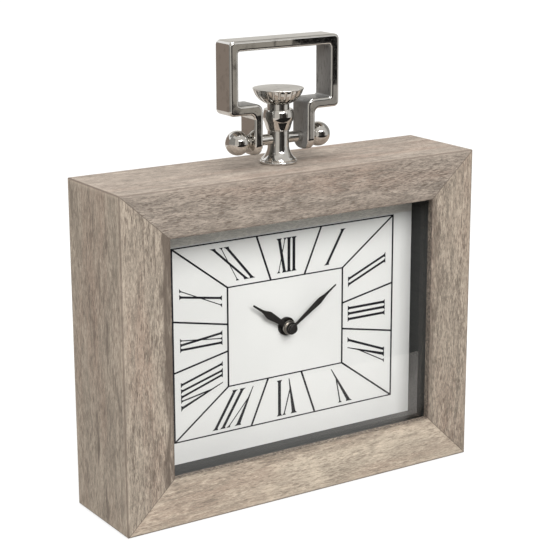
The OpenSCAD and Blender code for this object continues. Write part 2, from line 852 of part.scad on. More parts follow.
module battery() {
    half = cell_l / 2;
    color("#5A5F66") at_centre() translate([0, cell_y, cell_z]) {
        rod_x(cell_r, -half, half - nub_l);
        rod_x(nub_r, half - nub_l - eps, half);
    }
}

// Sprung strip whose feet stand on the bay's end wall and whose crest is bowed towards the cell
module contact(side) {
    wall = bay_half;
    tip = cell_l / 2 + hole_gap;
    y0 = shell_split + 1 + hole_gap;
    back = [[wall, -contact_h / 2], [wall, -contact_h / 3], [tip + contact_t, -contact_h / 8],
        [tip + contact_t, contact_h / 8], [wall, contact_h / 3], [wall, contact_h / 2]];
    front = [for (i = [5 : -1 : 0]) back[i] - [contact_t, 0]];
    color("#B8B4A8") at_centre() translate([0, 0, cell_z]) mirror([side > 0 ? 0 : 1, 0, 0])
        along_y(y0, y0 + contact_w) polygon(concat(back, front));
}

module circuit_board() {
    color("#3F6B4A") at_centre()
        box([pcb_x0, pcb_y, pcb_z0], [pcb_x0 + pcb_w, pcb_y + pcb_t, pcb_z0 + pcb_h]);
}

module chip() {
    color(black) at_centre()
        rod_y(chip_r, pcb_y - chip_t, pcb_y, [pcb_x0 + pcb_w / 2, pcb_z0 + chip_up * pcb_h]);
}

module crystal() {
    color(metal) at_centre()
        rod_x(crystal_r, pcb_x0 + peg_in, pcb_x0 + peg_in + crystal_l,
            pcb_y - crystal_r - eps, pcb_z0 + crystal_up * pcb_h);
}

module coil_bobbin() {
    axis_y = stator_y + stator_t / 2;
    slot_t = stator_t + 2 * shaft_clear;
    slot_h = core_h + 2 * shaft_clear;
    end_x = coil_half + flange_t + 1;
    color(resin) at_centre() difference() {
        union() {
            rod_x(bobbin_r, -coil_half, coil_half, axis_y, core_z);
            for (s = [-1, 1])
                rod_x(flange_r, s * (coil_half + flange_t / 2) - flange_t / 2 - eps,
                    s * (coil_half + flange_t / 2) + flange_t / 2 + eps, axis_y, core_z);
        }
        box([-end_x, axis_y - slot_t / 2, core_z - slot_h / 2],
            [end_x, axis_y + slot_t / 2, core_z + slot_h / 2]);
    }
}

module coil_winding() {
    axis_y = stator_y + stator_t / 2;
    color("#B0642C") at_centre() difference() {
        rod_x(coil_r, -coil_half + eps, coil_half - eps, axis_y, core_z);
        rod_x(bobbin_r, -coil_half - 1, coil_half + 1, axis_y, core_z);
    }
}

// Laminated frame: the core through the coil, two legs and the bar with the rotor's hole
module stator() {
    color("#8F8C86") at_centre() along_y(stator_y, stator_y + stator_t) difference() {
        union() {
            translate([-stator_half_w, core_z - core_h / 2]) square([2 * stator_half_w, core_h]);
            for (x = [-stator_half_w, stator_half_w - stator_leg])
                translate([x, stator_bar[0]]) square([stator_leg, core_z - stator_bar[0]]);
            translate([-stator_half_w, stator_bar[0]])
                square([2 * stator_half_w, stator_bar[1] - stator_bar[0]]);
        }
        translate(rotor_at) circle(r = stator_hole_r);
        translate(fifth_at) circle(r = arbor_r + stator_arbor_gap);
    }
}

// Gear outline with n teeth of module m; one tooth points along X before it is turned
module gear_outline(n, m, tooth) {
    pitch_r = n * m / 2;
    radii = [pitch_r - tooth[1] * m, pitch_r, pitch_r + tooth[0] * m];
    corners = [[0, -1], [1, -1], [2, -1], [2, 1], [1, 1], [0, 1]];
    polygon([for (i = [0 : n - 1], c = corners)
        let (r = radii[c[0]], a = 360 * i / n + c[1] * (tooth[2 + c[0]] * m / 2 / r) * 180 / PI)
        r * [cos(a), sin(a)]]);
}

// A gear at [x, z], from y0, with one tooth turned to the direction a
module gear(n, m, tooth, y0, t, at, a) {
    translate([at[0], 0, at[1]]) along_y(y0, y0 + t) rotate(a) gear_outline(n, m, tooth);
}

// Wheel web with round cut-outs between its spokes
module wheel(n, m, y0, t, at, a, holes = 5) {
    pitch_r = n * m / 2;
    difference() {
        gear(n, m, wheel_tooth, y0, t, at, a);
        for (i = [0 : holes - 1]) {
            dir = a + 360 * (i + 0.5) / holes;
            rod_y(web_hole[0] * pitch_r, y0 - 1, y0 + t + 1,
                at + web_hole[1] * pitch_r * [cos(dir), sin(dir)]);
        }
    }
}

module rotor() {
    color("#3A3A3E") at_centre() {
        gear(train_leaves, fifth_m, leaf_tooth, rotor_leaf_y, leaf_t, rotor_at,
            rotor_dir + 180 + 180 / train_leaves);
        rod_y(magnet_r, magnet_y, magnet_y + magnet_t, rotor_at);
        rod_y(arbor_r, pivot_y0, pivot_y1, rotor_at);
    }
}

module fifth_wheel() {
    color(resin) at_centre() {
        gear(train_leaves, fourth_m, leaf_tooth, fifth_leaf_y, leaf_t, fifth_at, 270 + 180 / train_leaves);
        wheel(fifth_teeth, fifth_m, fifth_wheel_y, wheel_t, fifth_at, rotor_dir);
        rod_y(arbor_r, pivot_y0, pivot_y1, fifth_at);
        rod_y(train_leaves * fourth_m * leaf_core, fifth_leaf_y, fifth_wheel_y + eps, fifth_at);
    }
}

// The fourth wheel's arbor reaches forward through the minute tube, to the tip of the hands
module fourth_wheel() {
    color(resin) at_centre() {
        gear(train_leaves, third_m, leaf_tooth, fourth_leaf_y, leaf_t, [0, 0], 180 + 180 / train_leaves);
        wheel(fourth_teeth, fourth_m, fourth_wheel_y, wheel_t, [0, 0], 90);
        rod_y(second_arbor_r, tube_front + second_arbor_in, fourth_wheel_y + 2, [0, 0]);
        rod_y(arbor_r, fourth_wheel_y + 1, pivot_y1, [0, 0]);
    }
}

module third_wheel() {
    color(resin) at_centre() {
        gear(train_leaves, centre_m, leaf_tooth, third_leaf_y, leaf_t, third_at, 180 / train_leaves);
        wheel(third_teeth, third_m, third_wheel_y, wheel_t, third_at, 0);
        rod_y(arbor_r, pivot_y0, pivot_y1, third_at);
        rod_y(train_leaves * centre_m * third_core, third_leaf_y, third_wheel_y + eps, third_at);
    }
}

// Rides on the minute tube as a friction clutch
module centre_wheel() {
    color(resin) at_centre() difference() {
        wheel(centre_teeth, centre_m, centre_wheel_y, centre_wheel_t, [0, 0], 180, 6);
        rod_y(minute_tube_r + shaft_clear, centre_wheel_y - 1, centre_wheel_y + 2);
    }
}

module minute_tube() {
    color(metal) at_centre() difference() {
        union() {
            rod_y(minute_tube_r, tube_front, tube_back);
            gear(minute_leaves, motion_m, leaf_tooth, minute_leaf_y, motion_leaf_t, [0, 0],
                180 / minute_leaves);
        }
        rod_y(second_arbor_r + shaft_clear, tube_front - 1, tube_back + 1);
    }
}

module motion_wheel() {
    color(resin) at_centre() {
        gear(motion_leaves, hour_m, leaf_tooth, motion_leaf_y, motion_leaf_t, motion_at,
            180 + 180 / motion_leaves);
        wheel(motion_teeth, motion_m, motion_wheel_y, motion_wheel_t, motion_at, 180);
        rod_y(motion_arbor_r, pivot_y0, knob_y + knob_t - knob_skin - knob_end_gap, motion_at);
        rod_y(motion_hub_r, motion_leaf_y, motion_wheel_y + eps, motion_at);
    }
}

module hour_wheel() {
    color(resin) at_centre() difference() {
        union() {
            wheel(hour_teeth, hour_m, hour_wheel_y, motion_wheel_t, [0, 0], 0, 6);
            rod_y(hour_pipe_r, hour_pipe_front, hour_wheel_y + eps);
        }
        rod_y(minute_tube_r + shaft_clear, hour_pipe_front - 1, hour_wheel_y + 3);
    }
}

// Knurled knob on the motion wheel's arbor
module set_knob() {
    color("#F2F2F0") at_centre() difference() {
        rod_y(knob_r, knob_y, knob_y + knob_t, motion_at);
        for (i = [0 : knob_grooves - 1])
            rod_y(knob_groove_r, knob_y - 1, knob_y + knob_t + 1,
                motion_at + knob_r * [cos(360 * i / knob_grooves), sin(360 * i / knob_grooves)]);
        rod_y(motion_arbor_r + fit_clear, knob_y - 1, knob_y + knob_t - knob_skin, motion_at);
    }
}

// Blade along Z: from half-width base at the hub, widest at the first of spread, waist at the second,
// then a thin tip
module blade(l, w, base, spread, waist) {
    polygon([[-base, 0], [-w / 2, spread[0] * l], [-waist, spread[1] * l], [-blade_tip, l],
        [blade_tip, l], [waist, spread[1] * l], [w / 2, spread[0] * l], [base, 0]]);
}

module hour_hand() {
    color(black) at_centre() rotate([0, hour_angle, 0]) difference() {
        union() {
            along_y(hour_plate_y, hour_plate_y + hand_t)
                blade(hour_hand_l, hour_hand_w, hour_base, hour_spread, hour_waist);
            rod_y(hour_collet_r - collet_flange_t, hour_plate_y, hour_plate_y + hand_t);
        }
        rod_y(collet_sleeve_r - collet_step + eps, hour_plate_y - 1, hour_plate_y + 1);
    }
}

// Bright bush riveted into the hour hand and pushed on the hour wheel's pipe
module hour_collet() {
    color(metal) at_centre() difference() {
        union() {
            rod_y(hour_collet_r, hour_plate_y - collet_flange_t, hour_plate_y);
            rod_y(collet_sleeve_r, hour_pipe_front - collet_over, hour_plate_y - collet_flange_t + eps);
            rod_y(collet_sleeve_r - collet_step, hour_plate_y - eps, hour_plate_y + hand_t + collet_over);
        }
        rod_y(hour_pipe_r + eps, hour_pipe_front - 1, hour_plate_y + 2);
    }
}

module minute_hand() {
    color(black) at_centre() rotate([0, minute_angle, 0]) difference() {
        union() {
            along_y(minute_plate_y - hand_t / 2, minute_plate_y + hand_t / 2)
                blade(minute_hand_l, minute_hand_w, minute_base, minute_spread, minute_waist);
            rod_y(minute_boss_r, minute_plate_y - minute_boss_t / 2, minute_plate_y + minute_boss_t / 2);
        }
        rod_y(minute_tube_r + eps, minute_plate_y - 1, minute_plate_y + 1);
    }
}

module minute_nut() {
    front = minute_plate_y - minute_boss_t / 2 - minute_nut_t;
    color("#B7A79F") at_centre() difference() {
        rod_y(cap_r, front, front + minute_nut_t);
        rod_y(minute_tube_r + eps, front - 1, front + minute_nut_t + 1);
    }
}

// Closed cap over the tube's end
module end_cap() {
    back = minute_plate_y - minute_boss_t / 2 - minute_nut_t;
    color(black) at_centre() difference() {
        union() {
            rod_y(cap_r, back - cap_t + cap_bevel, back);
            translate([0, back - cap_t + cap_bevel, 0])
                rotate([90, 0, 0]) cylinder(r1 = cap_r, r2 = cap_r - cap_bevel, h = cap_bevel);
        }
        rod_y(minute_tube_r + eps, back - cap_t + cap_wall, back + 1);
    }
}

top_rail();
bottom_rail();
side_rail(-1);  // left_rail
side_rail(1);  // right_rail
glass_pane();
spacer_top();
spacer_bottom();
spacer_side(-1);  // spacer_left
spacer_side(1);  // spacer_right
dial_card();
dial_board();
retainer_level(rab_z1 - retainer_w);  // retainer_top
retainer_level(rab_z0);  // retainer_bottom
retainer_side(-1);  // retainer_left
retainer_side(1);  // retainer_right
back_panel();
back_screws();
handle_post();
crown_knob();
cross_pin();
ball_nut(-1);  // ball_nut_left
ball_nut(1);  // ball_nut_right
handle_screw();
handle_washer();
bail_handle();
gasket();
movement_case();
movement_cover();
fixing_nut();
battery();
contact(1);  // contact_positive
contact(-1);  // contact_negative
circuit_board();
chip();
crystal();
coil_bobbin();
coil_winding();
stator();
rotor();
fifth_wheel();
fourth_wheel();
third_wheel();
centre_wheel();
minute_tube();
motion_wheel();
hour_wheel();
set_knob();
hour_hand();
hour_collet();
minute_hand();
minute_nut();
end_cap();
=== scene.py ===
"""Looks of a mitred wood table clock: prints its dial and gives each part the finish of the real one.

Object coordinates are in metres in the clock's own frame: x to the right as one reads the dial, y to the
back, z up, with the origin in the middle of the face that the case stands on.
"""

import math

import bmesh
import bpy
from bpy.props import FloatProperty, FloatVectorProperty, PointerProperty
from bpy.types import Operator, Panel, PropertyGroup
from mathutils import Matrix, Vector


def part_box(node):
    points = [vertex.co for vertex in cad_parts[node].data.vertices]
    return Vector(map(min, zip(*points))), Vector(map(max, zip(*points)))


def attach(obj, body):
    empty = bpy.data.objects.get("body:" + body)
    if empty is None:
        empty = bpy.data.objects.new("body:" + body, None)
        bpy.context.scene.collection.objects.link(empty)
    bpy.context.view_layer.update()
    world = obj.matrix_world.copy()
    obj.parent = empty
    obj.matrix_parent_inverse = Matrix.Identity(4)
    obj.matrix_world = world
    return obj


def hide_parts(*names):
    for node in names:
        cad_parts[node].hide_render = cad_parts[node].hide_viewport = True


bl_info = {
    "name": "Mitred Table Clock",
    "version": (1, 0, 0),
    "blender": (4, 5, 0),
    "location": "3D View > Sidebar > Clock",
    "description": "Prints the dial of a mitred wood table clock and finishes its parts",
    "category": "Add Mesh",
}

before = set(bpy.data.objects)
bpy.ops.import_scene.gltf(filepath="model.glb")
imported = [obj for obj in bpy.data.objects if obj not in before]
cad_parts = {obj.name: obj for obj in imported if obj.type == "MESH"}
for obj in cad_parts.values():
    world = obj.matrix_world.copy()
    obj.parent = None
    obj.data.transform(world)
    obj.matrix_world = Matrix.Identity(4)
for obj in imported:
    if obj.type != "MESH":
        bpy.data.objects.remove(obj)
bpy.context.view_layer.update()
MM = 0.001
# How far one seed moves a noise along x, y and z, in specks
SEED_STEPS = (3.1, 1.7, 2.3)
# Bands that Blender's wave texture draws in one unit at scale 1
WAVE_BANDS = 10 / math.pi

# Places that the finishes need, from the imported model
CASE_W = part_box("right_rail")[1].x
CASE_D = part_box("right_rail")[1].y
CASE_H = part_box("top_rail")[1].z
OPEN_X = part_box("right_rail")[0].x
OPEN_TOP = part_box("top_rail")[0].z
OPEN_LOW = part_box("bottom_rail")[1].z
DIAL_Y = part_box("dial_card")[0].y
CROWN_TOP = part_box("crown_knob")[1].z
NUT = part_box("fixing_nut")
DIAL_Z = (NUT[0].z + NUT[1].z) / 2


# Helpers


def tone(code):
    """Linear colour of an sRGB hex code."""
    parts = [int(code[i : i + 2], 16) / 255 for i in (1, 3, 5)]
    return (*[p / 12.92 if p <= 0.04045 else ((p + 0.055) / 1.055) ** 2.4 for p in parts], 1.0)


def shade(colour, factor):
    """A colour made darker or lighter."""
    return (*[min(1.0, c * factor) for c in colour[:3]], 1.0)


def feed(node, into):
    """Gives inputs of a node a value, or the node or socket that feeds them."""
    live = {socket.name: socket for socket in reversed(node.inputs) if socket.enabled}
    for name, value in into.items():
        socket = node.inputs[name] if isinstance(name, int) else live[name]
        if isinstance(value, bpy.types.Node):
            value = next(output for output in value.outputs if output.enabled)
        if isinstance(value, bpy.types.NodeSocket):
            node.id_data.links.new(value, socket)
        else:
            socket.default_value = value


def put(tree, kind, into, **settings):
    """Adds one node with its settings and what feeds its inputs."""
    added = tree.nodes.new("ShaderNode" + kind)
    for name, value in settings.items():
        setattr(added, name, value)
    feed(added, into)
    return added


def finish(name, base, roughness, metallic=0.0, specular=0.5):
    """A material and its shader, whose constants are set on the shader's own sockets."""
    made = bpy.data.materials.new(name)
    made.use_nodes = True
    made.diffuse_color = base
    made.roughness = roughness
    made.metallic = metallic
    shader = made.node_tree.nodes["Principled BSDF"]
    feed(shader, {"Base Color": base, "Metallic": metallic, "Roughness": roughness})
    feed(shader, {"Specular IOR Level": specular})
    return made, made.node_tree, shader


def speckle(tree, size, long=None, along="x", seed=0, detail=2.0, bend=0.0, crisp=0.5):
    """Noise of 0 to 1 whose specks are `size` mm across, and `long` mm along one axis."""
    here = put(tree, "TexCoord", {}).outputs["Object"]
    scale = [1 / ((long or size) * MM) if axis == along else 1 / (size * MM) for axis in "xyz"]
    shift = [step * seed for step in SEED_STEPS]
    spread = put(tree, "Mapping", {"Vector": here, "Scale": scale, "Location": shift})
    into = {"Vector": spread, "Scale": 1.0, "Detail": detail, "Roughness": crisp, "Distortion": bend}
    return put(tree, "TexNoise", into)


def veil(tree, body, colour, strength, start, full, noise):
    """Lays a colour where noise passes from `start` to `full`; returns the body and where it lies.

    Noise gathers round 0.5, so a start below that covers most of a face and one of 0.7 leaves specks.
    """
    into = {"Value": noise, "From Min": start, "From Max": full, "To Min": 0.0, "To Max": strength}
    where = put(tree, "MapRange", into, interpolation_type="SMOOTHSTEP")
    return put(tree, "Mix", {"Factor": where, "A": body, "B": colour}, data_type="RGBA"), where


def mottle(tree, shader, one, other, levels, noise, relief):
    """Turns one tone into another between two levels of a noise, which also raises the face, `relief` mm."""
    body, _ = veil(tree, one, other, 1.0, *levels, noise)
    bump = put(tree, "Bump", {"Height": noise, "Distance": relief * MM})
    feed(shader, {"Base Color": body, "Normal": bump})


def looked_at(tree):
    """1 for what looks at a thing, directly, in a mirror or through glass, and 0 for the light on others."""
    ray = put(tree, "LightPath", {}).outputs
    seen = put(tree, "Math", {0: ray["Is Camera Ray"], 1: ray["Is Glossy Ray"]}, operation="MAXIMUM")
    return put(tree, "Math", {0: seen, 1: ray["Is Transmission Ray"]}, operation="MAXIMUM")


def dress(material, *nodes):
    """Gives CAD nodes a finish through their own material slots."""
    for name in nodes:
        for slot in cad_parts[name].material_slots:
            slot.material = material


# Sizes and colours that a user would change


def colour_prop(name, description, code):
    """A colour picker whose default is an sRGB hex code."""
    return FloatVectorProperty(
        name=name, description=description, subtype="COLOR", size=4, min=0, max=1, default=tone(code)
    )


def length_prop(name, description, mm):
    """A length whose default is given in millimetres."""
    return FloatProperty(name=name, description=description, unit="LENGTH", default=mm * MM)


class ClockWood(PropertyGroup):
    """Colours of the rails and sizes of the wood's figure"""

    top_tone: colour_prop("Top rail", "Ground colour of the top rail", "#90857A")
    bottom_tone: colour_prop("Bottom rail", "Ground colour of the bottom rail", "#B5A897")
    left_tone: colour_prop("Left rail", "Ground colour of the left rail", "#9B8F81")
    right_tone: colour_prop("Right rail", "Ground colour of the right rail", "#998D7F")
    pore_tone: colour_prop("Pores", "Stain held by the open pores", "#5A4D44")
    warm_tone: colour_prop("Heartwood", "Where the stain let the pinkish heartwood through", "#957D6E")
    grime_tone: colour_prop("Edges", "Stain left along edges and in the mitres", "#5C5148")
    pore_length: length_prop("Pore length", "Length of the dark flecks", 4.5)
    pore_width: length_prop("Pore width", "Width of the flecks, twice the real 0.25 mm, to show", 0.5)
    figure_length: length_prop("Figure length", "Length of the streaks that the planed fibre leaves", 8)
    figure_width: length_prop("Figure width", "Width of those streaks", 1.3)
    mitre_line: length_prop("Mitre line", "Half the width of the dark line in a mitre", 0.22)


class ClockDial(PropertyGroup):
    """Colours of the dial and sizes of its print"""

    card_tone: colour_prop("Card", "Coated card of the dial", "#E5E5E2")
    ink_tone: colour_prop("Ink", "Printed lines and numerals", "#17171C")
    board_tone: colour_prop("Board", "Bare board behind the card", "#E8E4DC")
    outer_x: length_prop("Outer half width", "Half the width of the outer ring", 86.5)
    outer_shift: length_prop("Outer ring off centre", "How far right of the inner ring it stands", 0.5)
    outer_z: length_prop("Outer half height", "Half the height of the outer ring", 64.3)
    inner_x: length_prop("Inner half width", "Half the width of the inner ring", 45.2)
    inner_z: length_prop("Inner half height", "Half the height of the inner ring", 33.45)
    line_across: length_prop("Level lines", "Width of the rings' level lines", 0.9)
    line_upright: length_prop("Upright lines", "Width of the rings' upright lines", 1.3)
    divider: length_prop("Dividers", "Width of the slanting lines between the hours", 1.2)
    upright_divider: length_prop("Upright dividers", "Width of the upright ones among them", 1.45)
    serif: length_prop("Serif", "How far a serif reaches beyond its stroke", 1.15)
    serif_rise: length_prop("Serif height", "Height over which a serif runs out", 1.5)
    ink_lift: length_prop("Ink lift", "Ink above the card, more than real so that the two stay apart", 0.06)
    shift_x: length_prop("Print off centre, x", "The print stands this far right of the bush", 0.35)
    shift_z: length_prop("Print off centre, z", "The print stands this far above the bush", -0.35)


class ClockMetal(PropertyGroup):
    """Colours of the metal and sizes of the hands"""

    nickel_tone: colour_prop("Nickel", "Polished nickel plate", "#DFDDD9")
    hand_tone: colour_prop("Hands", "Black lacquer of the hands", "#1A1817")
    bar: length_prop("Bail bar", "Thickness of the bail's bars, whose inner faces are only tumbled", 6.6)
    hand_plate: length_prop("Hand plate", "Thickness of the sheet that the hands are stamped from", 0.4)
    hand_edge: length_prop("Hand edge", "Width that the lacquer rounds off at the hands' edges", 0.12)
    hand_boss: length_prop("Hand boss", "Radius of the round boss at a hand's foot", 4.2)
    wave: length_prop("Casting wave", "Distance between the waves that hand polishing leaves", 14)
    brush: length_prop("Brush marks", "Distance between the crown's turned rings, coarse to show", 0.987)


class ClockStudio(PropertyGroup):
    """The camera, the lamps and the floor"""

    eye: FloatVectorProperty(
        name="Eye", description="Where the camera stands", subtype="TRANSLATION", unit="LENGTH",
        default=(-0.56992, -0.87138, 0.42187),
    )
    aim: FloatVectorProperty(
        name="Aim", description="Point in the middle of the picture", subtype="TRANSLATION", unit="LENGTH",
        default=(-0.02894, -0.03435, 0.15811),
    )
    roll: FloatProperty(
        name="Roll", description="Tilt of the camera", subtype="ANGLE", default=math.radians(-0.22)
    )
    lens: FloatProperty(name="Lens", description="Focal length on a 36 mm sensor", default=108.8)
    key_power: FloatProperty(name="Key", description="Power of the soft box in front, W", default=110)
    top_power: FloatProperty(name="Top", description="Power of the soft box overhead, W", default=31)
    side_power: FloatProperty(name="Side", description="Power of the soft box on the left, W", default=38)
    fill: FloatProperty(name="Fill", description="Strength of the light from all round", default=0.22)
    floor_tone: colour_prop("Floor", "Painted floor", "#8A8A88")
    floor_lift: FloatProperty(
        name="Floor lift", description="What the camera sees added to the floor by the clock", default=0.75
    )


# Wood


def edge_distances(tree):
    """Distances from the rails' edges: the arrises outside, the rim of the opening, and the mitre planes."""
    here = put(tree, "TexCoord", {}).outputs["Object"]
    split = put(tree, "SeparateXYZ", {"Vector": here}).outputs
    x = put(tree, "Math", {0: split["X"]}, operation="ABSOLUTE")
    y = put(tree, "Math", {0: split["Y"]}, operation="ABSOLUTE")
    up = put(tree, "Math", {0: split["Z"], 1: CASE_H / 2}, operation="SUBTRACT")
    up = put(tree, "Math", {0: up}, operation="ABSOLUTE")
    gaps = []
    for reach, value in ((CASE_W, x), (CASE_D, y), (CASE_H / 2, up)):
        gaps.append(put(tree, "Math", {0: reach, 1: value}, operation="SUBTRACT"))
    low = put(tree, "Math", {0: gaps[0], 1: gaps[1]}, operation="MINIMUM")
    high = put(tree, "Math", {0: gaps[0], 1: gaps[1]}, operation="MAXIMUM")
    high = put(tree, "Math", {0: high, 1: gaps[2]}, operation="MINIMUM")
    arris = put(tree, "Math", {0: low, 1: high}, operation="MAXIMUM")

    off = put(tree, "Math", {0: split["Z"], 1: (OPEN_TOP + OPEN_LOW) / 2}, operation="SUBTRACT")
    off = put(tree, "Math", {0: off}, operation="ABSOLUTE")
    beside = put(tree, "Math", {0: x, 1: OPEN_X}, operation="SUBTRACT")
    above = put(tree, "Math", {0: off, 1: (OPEN_TOP - OPEN_LOW) / 2}, operation="SUBTRACT")
    rim = put(tree, "Math", {0: beside, 1: above}, operation="MAXIMUM")

    spot = put(tree, "CombineXYZ", {"X": x, "Z": split["Z"]})
    planes = []
    for corner_z, inner_z in ((CASE_H, OPEN_TOP), (0.0, OPEN_LOW)):
        normal = Vector((inner_z - corner_z, 0, CASE_W - OPEN_X)).normalized()
        level = normal.x * CASE_W + normal.z * corner_z
        dot = put(tree, "VectorMath", {0: spot, 1: normal}, operation="DOT_PRODUCT").outputs["Value"]
        gap = put(tree, "Math", {0: dot, 1: level}, operation="SUBTRACT")
        planes.append(put(tree, "Math", {0: gap}, operation="ABSOLUTE"))
    mitre = put(tree, "Math", {0: planes[0], 1: planes[1]}, operation="MINIMUM")
    return arris, rim, mitre


# How far from an edge, in metres, each of these starts to fade and is gone: the darkening beside the
# opening, its torn faces, the painted highlight along an arris and the dark line on it
RIM_DARKENING_REACH = (2 * MM, 11 * MM)
TORN_REACH = (0.2 * MM, 0.6 * MM)
ARRIS_HIGHLIGHT_REACH = (1.8 * MM, 4.0 * MM)
LINE_REACH = (0.6 * MM, 1.6 * MM)
# What the wear on an edge loses for each metre from it
WEAR_FADE = 300.0


def mango(rail, along, base, seed, figure, flecks, rim_darkening):
    """Mango, planed, stained grey, wiped back and waxed: dull, with streaks and pores along the rail."""
    wood = bpy.context.scene.clock_wood
    made, tree, shader = finish(f"grey_stained_mango_{rail}", base, roughness=0.6, specular=0.3)
    arris, rim, mitre = edge_distances(tree)

    # Clouds where more or less stain was wiped off, warmer heartwood here and there, and long dark bands
    clouds = speckle(tree, 20, 50, along, seed, 4, bend=0.8, crisp=0.6)
    heart = speckle(tree, 22, 120, along, seed + 1, 3)
    body, _ = veil(tree, shade(base, 0.84), shade(base, 1.16), 1.0, 0.34, 0.66, clouds)
    body, _ = veil(tree, body, wood.warm_tone, 0.55, 0.46, 0.68, heart)
    band = speckle(tree, 5.5, 70, along, seed + 9, 2, bend=0.5)
    body, _ = veil(tree, body, shade(base, 0.6), 0.7 * figure, 0.55, 0.7, band)

    # Figure: dark and pale streaks of the planed fibre, calmer on the faces that were sawn along it
    facing = put(tree, "NewGeometry", {}).outputs["Normal"]
    facing = put(tree, "SeparateXYZ", {"Vector": facing}).outputs["Y"]
    facing = put(tree, "Math", {0: facing}, operation="ABSOLUTE")
    lively = put(tree, "Math", {0: facing, 1: 0.2 * figure, 2: 0.8 * figure}, operation="MULTIPLY_ADD")
    width, length = wood.figure_width / MM, wood.figure_length / MM
    broad = speckle(tree, 3.2 * width, 2.4 * length, along, seed + 3, 5, bend=0.8, crisp=0.6)
    coarse = speckle(tree, width, length, along, seed + 2, 5, bend=0.6, crisp=0.7)
    fine = speckle(tree, 0.45 * width, 0.35 * length, along, seed + 4, 4, bend=0.3, crisp=0.8)
    for noise, deep, full in ((broad, 0.62, 0.67), (coarse, 0.55, 0.68), (fine, 0.42, 0.68)):
        dark, _ = veil(tree, body, shade(base, deep), 0.9, 0.5, full, noise)
        pale, _ = veil(tree, dark, shade(base, 1.5), 0.75, 0.5, 1.0 - full, noise)
        body = put(tree, "Mix", {"Factor": lively, "A": body, "B": pale}, data_type="RGBA")

    # Open pores that hold the stain, crowded in drifts
    drift = speckle(tree, 12, 30, along, seed + 5)
    pores = speckle(tree, wood.pore_width / MM, wood.pore_length / MM, along, seed + 6, 1)
    pores = put(tree, "Math", {0: drift, 1: 0.3, 2: pores}, operation="MULTIPLY_ADD")
    body, holes = veil(tree, body, wood.pore_tone, flecks, 0.7, 0.82, pores)

    # Darker beside the opening and over its own faces, broken up by noise, and wear along every edge
    patch = speckle(tree, 5, 30, along, seed + 7, 3, bend=0.5)
    into = {"Value": rim, "From Min": RIM_DARKENING_REACH[0], "From Max": RIM_DARKENING_REACH[1]}
    near = put(tree, "MapRange", {**into, "To Min": 0.12 + 0.14 * rim_darkening, "To Max": 0.0})
    patch = put(tree, "Math", {0: patch, 1: near}, operation="ADD")
    body, _ = veil(tree, body, wood.grime_tone, rim_darkening, 0.55, 0.78, patch)
    worn = speckle(tree, 1.2, 10, along, seed + 8, 3)
    edge = put(tree, "Math", {0: arris, 1: rim}, operation="MINIMUM")
    worn = put(tree, "Math", {0: edge, 1: -WEAR_FADE, 2: worn}, operation="MULTIPLY_ADD")
    body, _ = veil(tree, body, wood.grime_tone, 0.55, 0.1, 0.5, worn)

    # The opening's own faces, left torn by the saw, where the stain lodged
    torn = speckle(tree, 1.1, 1.8, along, seed + 10, 3, crisp=0.8)
    into = {"Value": rim, "From Min": TORN_REACH[0], "From Max": TORN_REACH[1]}
    inner = put(tree, "MapRange", {**into, "To Min": 0.12, "To Max": -1.0})
    torn = put(tree, "Math", {0: torn, 1: inner}, operation="ADD")
    body, _ = veil(tree, body, shade(wood.grime_tone, 0.5), 0.9, 0.56, 0.68, torn)

    # Arrises: a paler strip, a painted highlight where the arris catches the light, and the dark line that
    # stain leaves on the corner itself
    into = {"Value": arris, "From Min": ARRIS_HIGHLIGHT_REACH[0], "From Max": ARRIS_HIGHLIGHT_REACH[1]}
    bare = put(tree, "MapRange", {**into, "To Min": 0.3, "To Max": 0.0})
    body = put(tree, "Mix", {"Factor": bare, "A": body, "B": shade(base, 1.25)}, data_type="RGBA")
    into = {"Value": arris, "From Min": LINE_REACH[0], "From Max": LINE_REACH[1]}
    held = put(tree, "MapRange", {**into, "To Min": 0.65, "To Max": 0.0}, interpolation_type="SMOOTHSTEP")
    body = put(tree, "Mix", {"Factor": held, "A": body, "B": wood.grime_tone}, data_type="RGBA")

    # Mitres: a thin dark line
    into = {"Value": mitre, "From Min": 0.3 * wood.mitre_line, "From Max": 2.2 * wood.mitre_line}
    joint = put(tree, "MapRange", {**into, "To Min": 0.7, "To Max": 0.0}, interpolation_type="SMOOTHSTEP")
    body = put(tree, "Mix", {"Factor": joint, "A": body, "B": wood.grime_tone}, data_type="RGBA")

    # Relief: the fibre stands a little proud, and the pores and mitres lie deeper
    groove = put(tree, "Math", {0: holes, 1: joint}, operation="MAXIMUM")
    height = put(tree, "Math", {0: coarse, 1: 0.5, 2: 1.0}, operation="MULTIPLY_ADD")
    height = put(tree, "Math", {0: height, 1: groove}, operation="SUBTRACT")
    bump = put(tree, "Bump", {"Height": height, "Distance": 0.12 * MM, "Strength": 1.0})
    feed(shader, {"Base Color": body, "Normal": bump})
    return made


class CLOCK_OT_finish_rails(Operator):
    """Stains and waxes the four rails of the case, each with its grain along its own length"""

    bl_idname = "clock.finish_rails"
    bl_label = "Finish Rails"

    def execute(self, context):
        wood = context.scene.clock_wood
        dress(mango("top", "x", wood.top_tone, 11, figure=0.85, flecks=0.65, rim_darkening=0.3), "top_rail")
        dress(mango("bottom", "x", wood.bottom_tone, 23, figure=0.6, flecks=0.45, rim_darkening=0.3), "bottom_rail")
        dress(mango("left", "z", wood.left_tone, 37, figure=0.85, flecks=0.65, rim_darkening=0.85), "left_rail")
        dress(mango("right", "z", wood.right_tone, 41, figure=1.0, flecks=0.7, rim_darkening=0.5), "right_rail")
        return {"FINISHED"}


# Glass, liners and dial


# Share of a bare pane's mirror that its coating leaves
COATED = 0.18


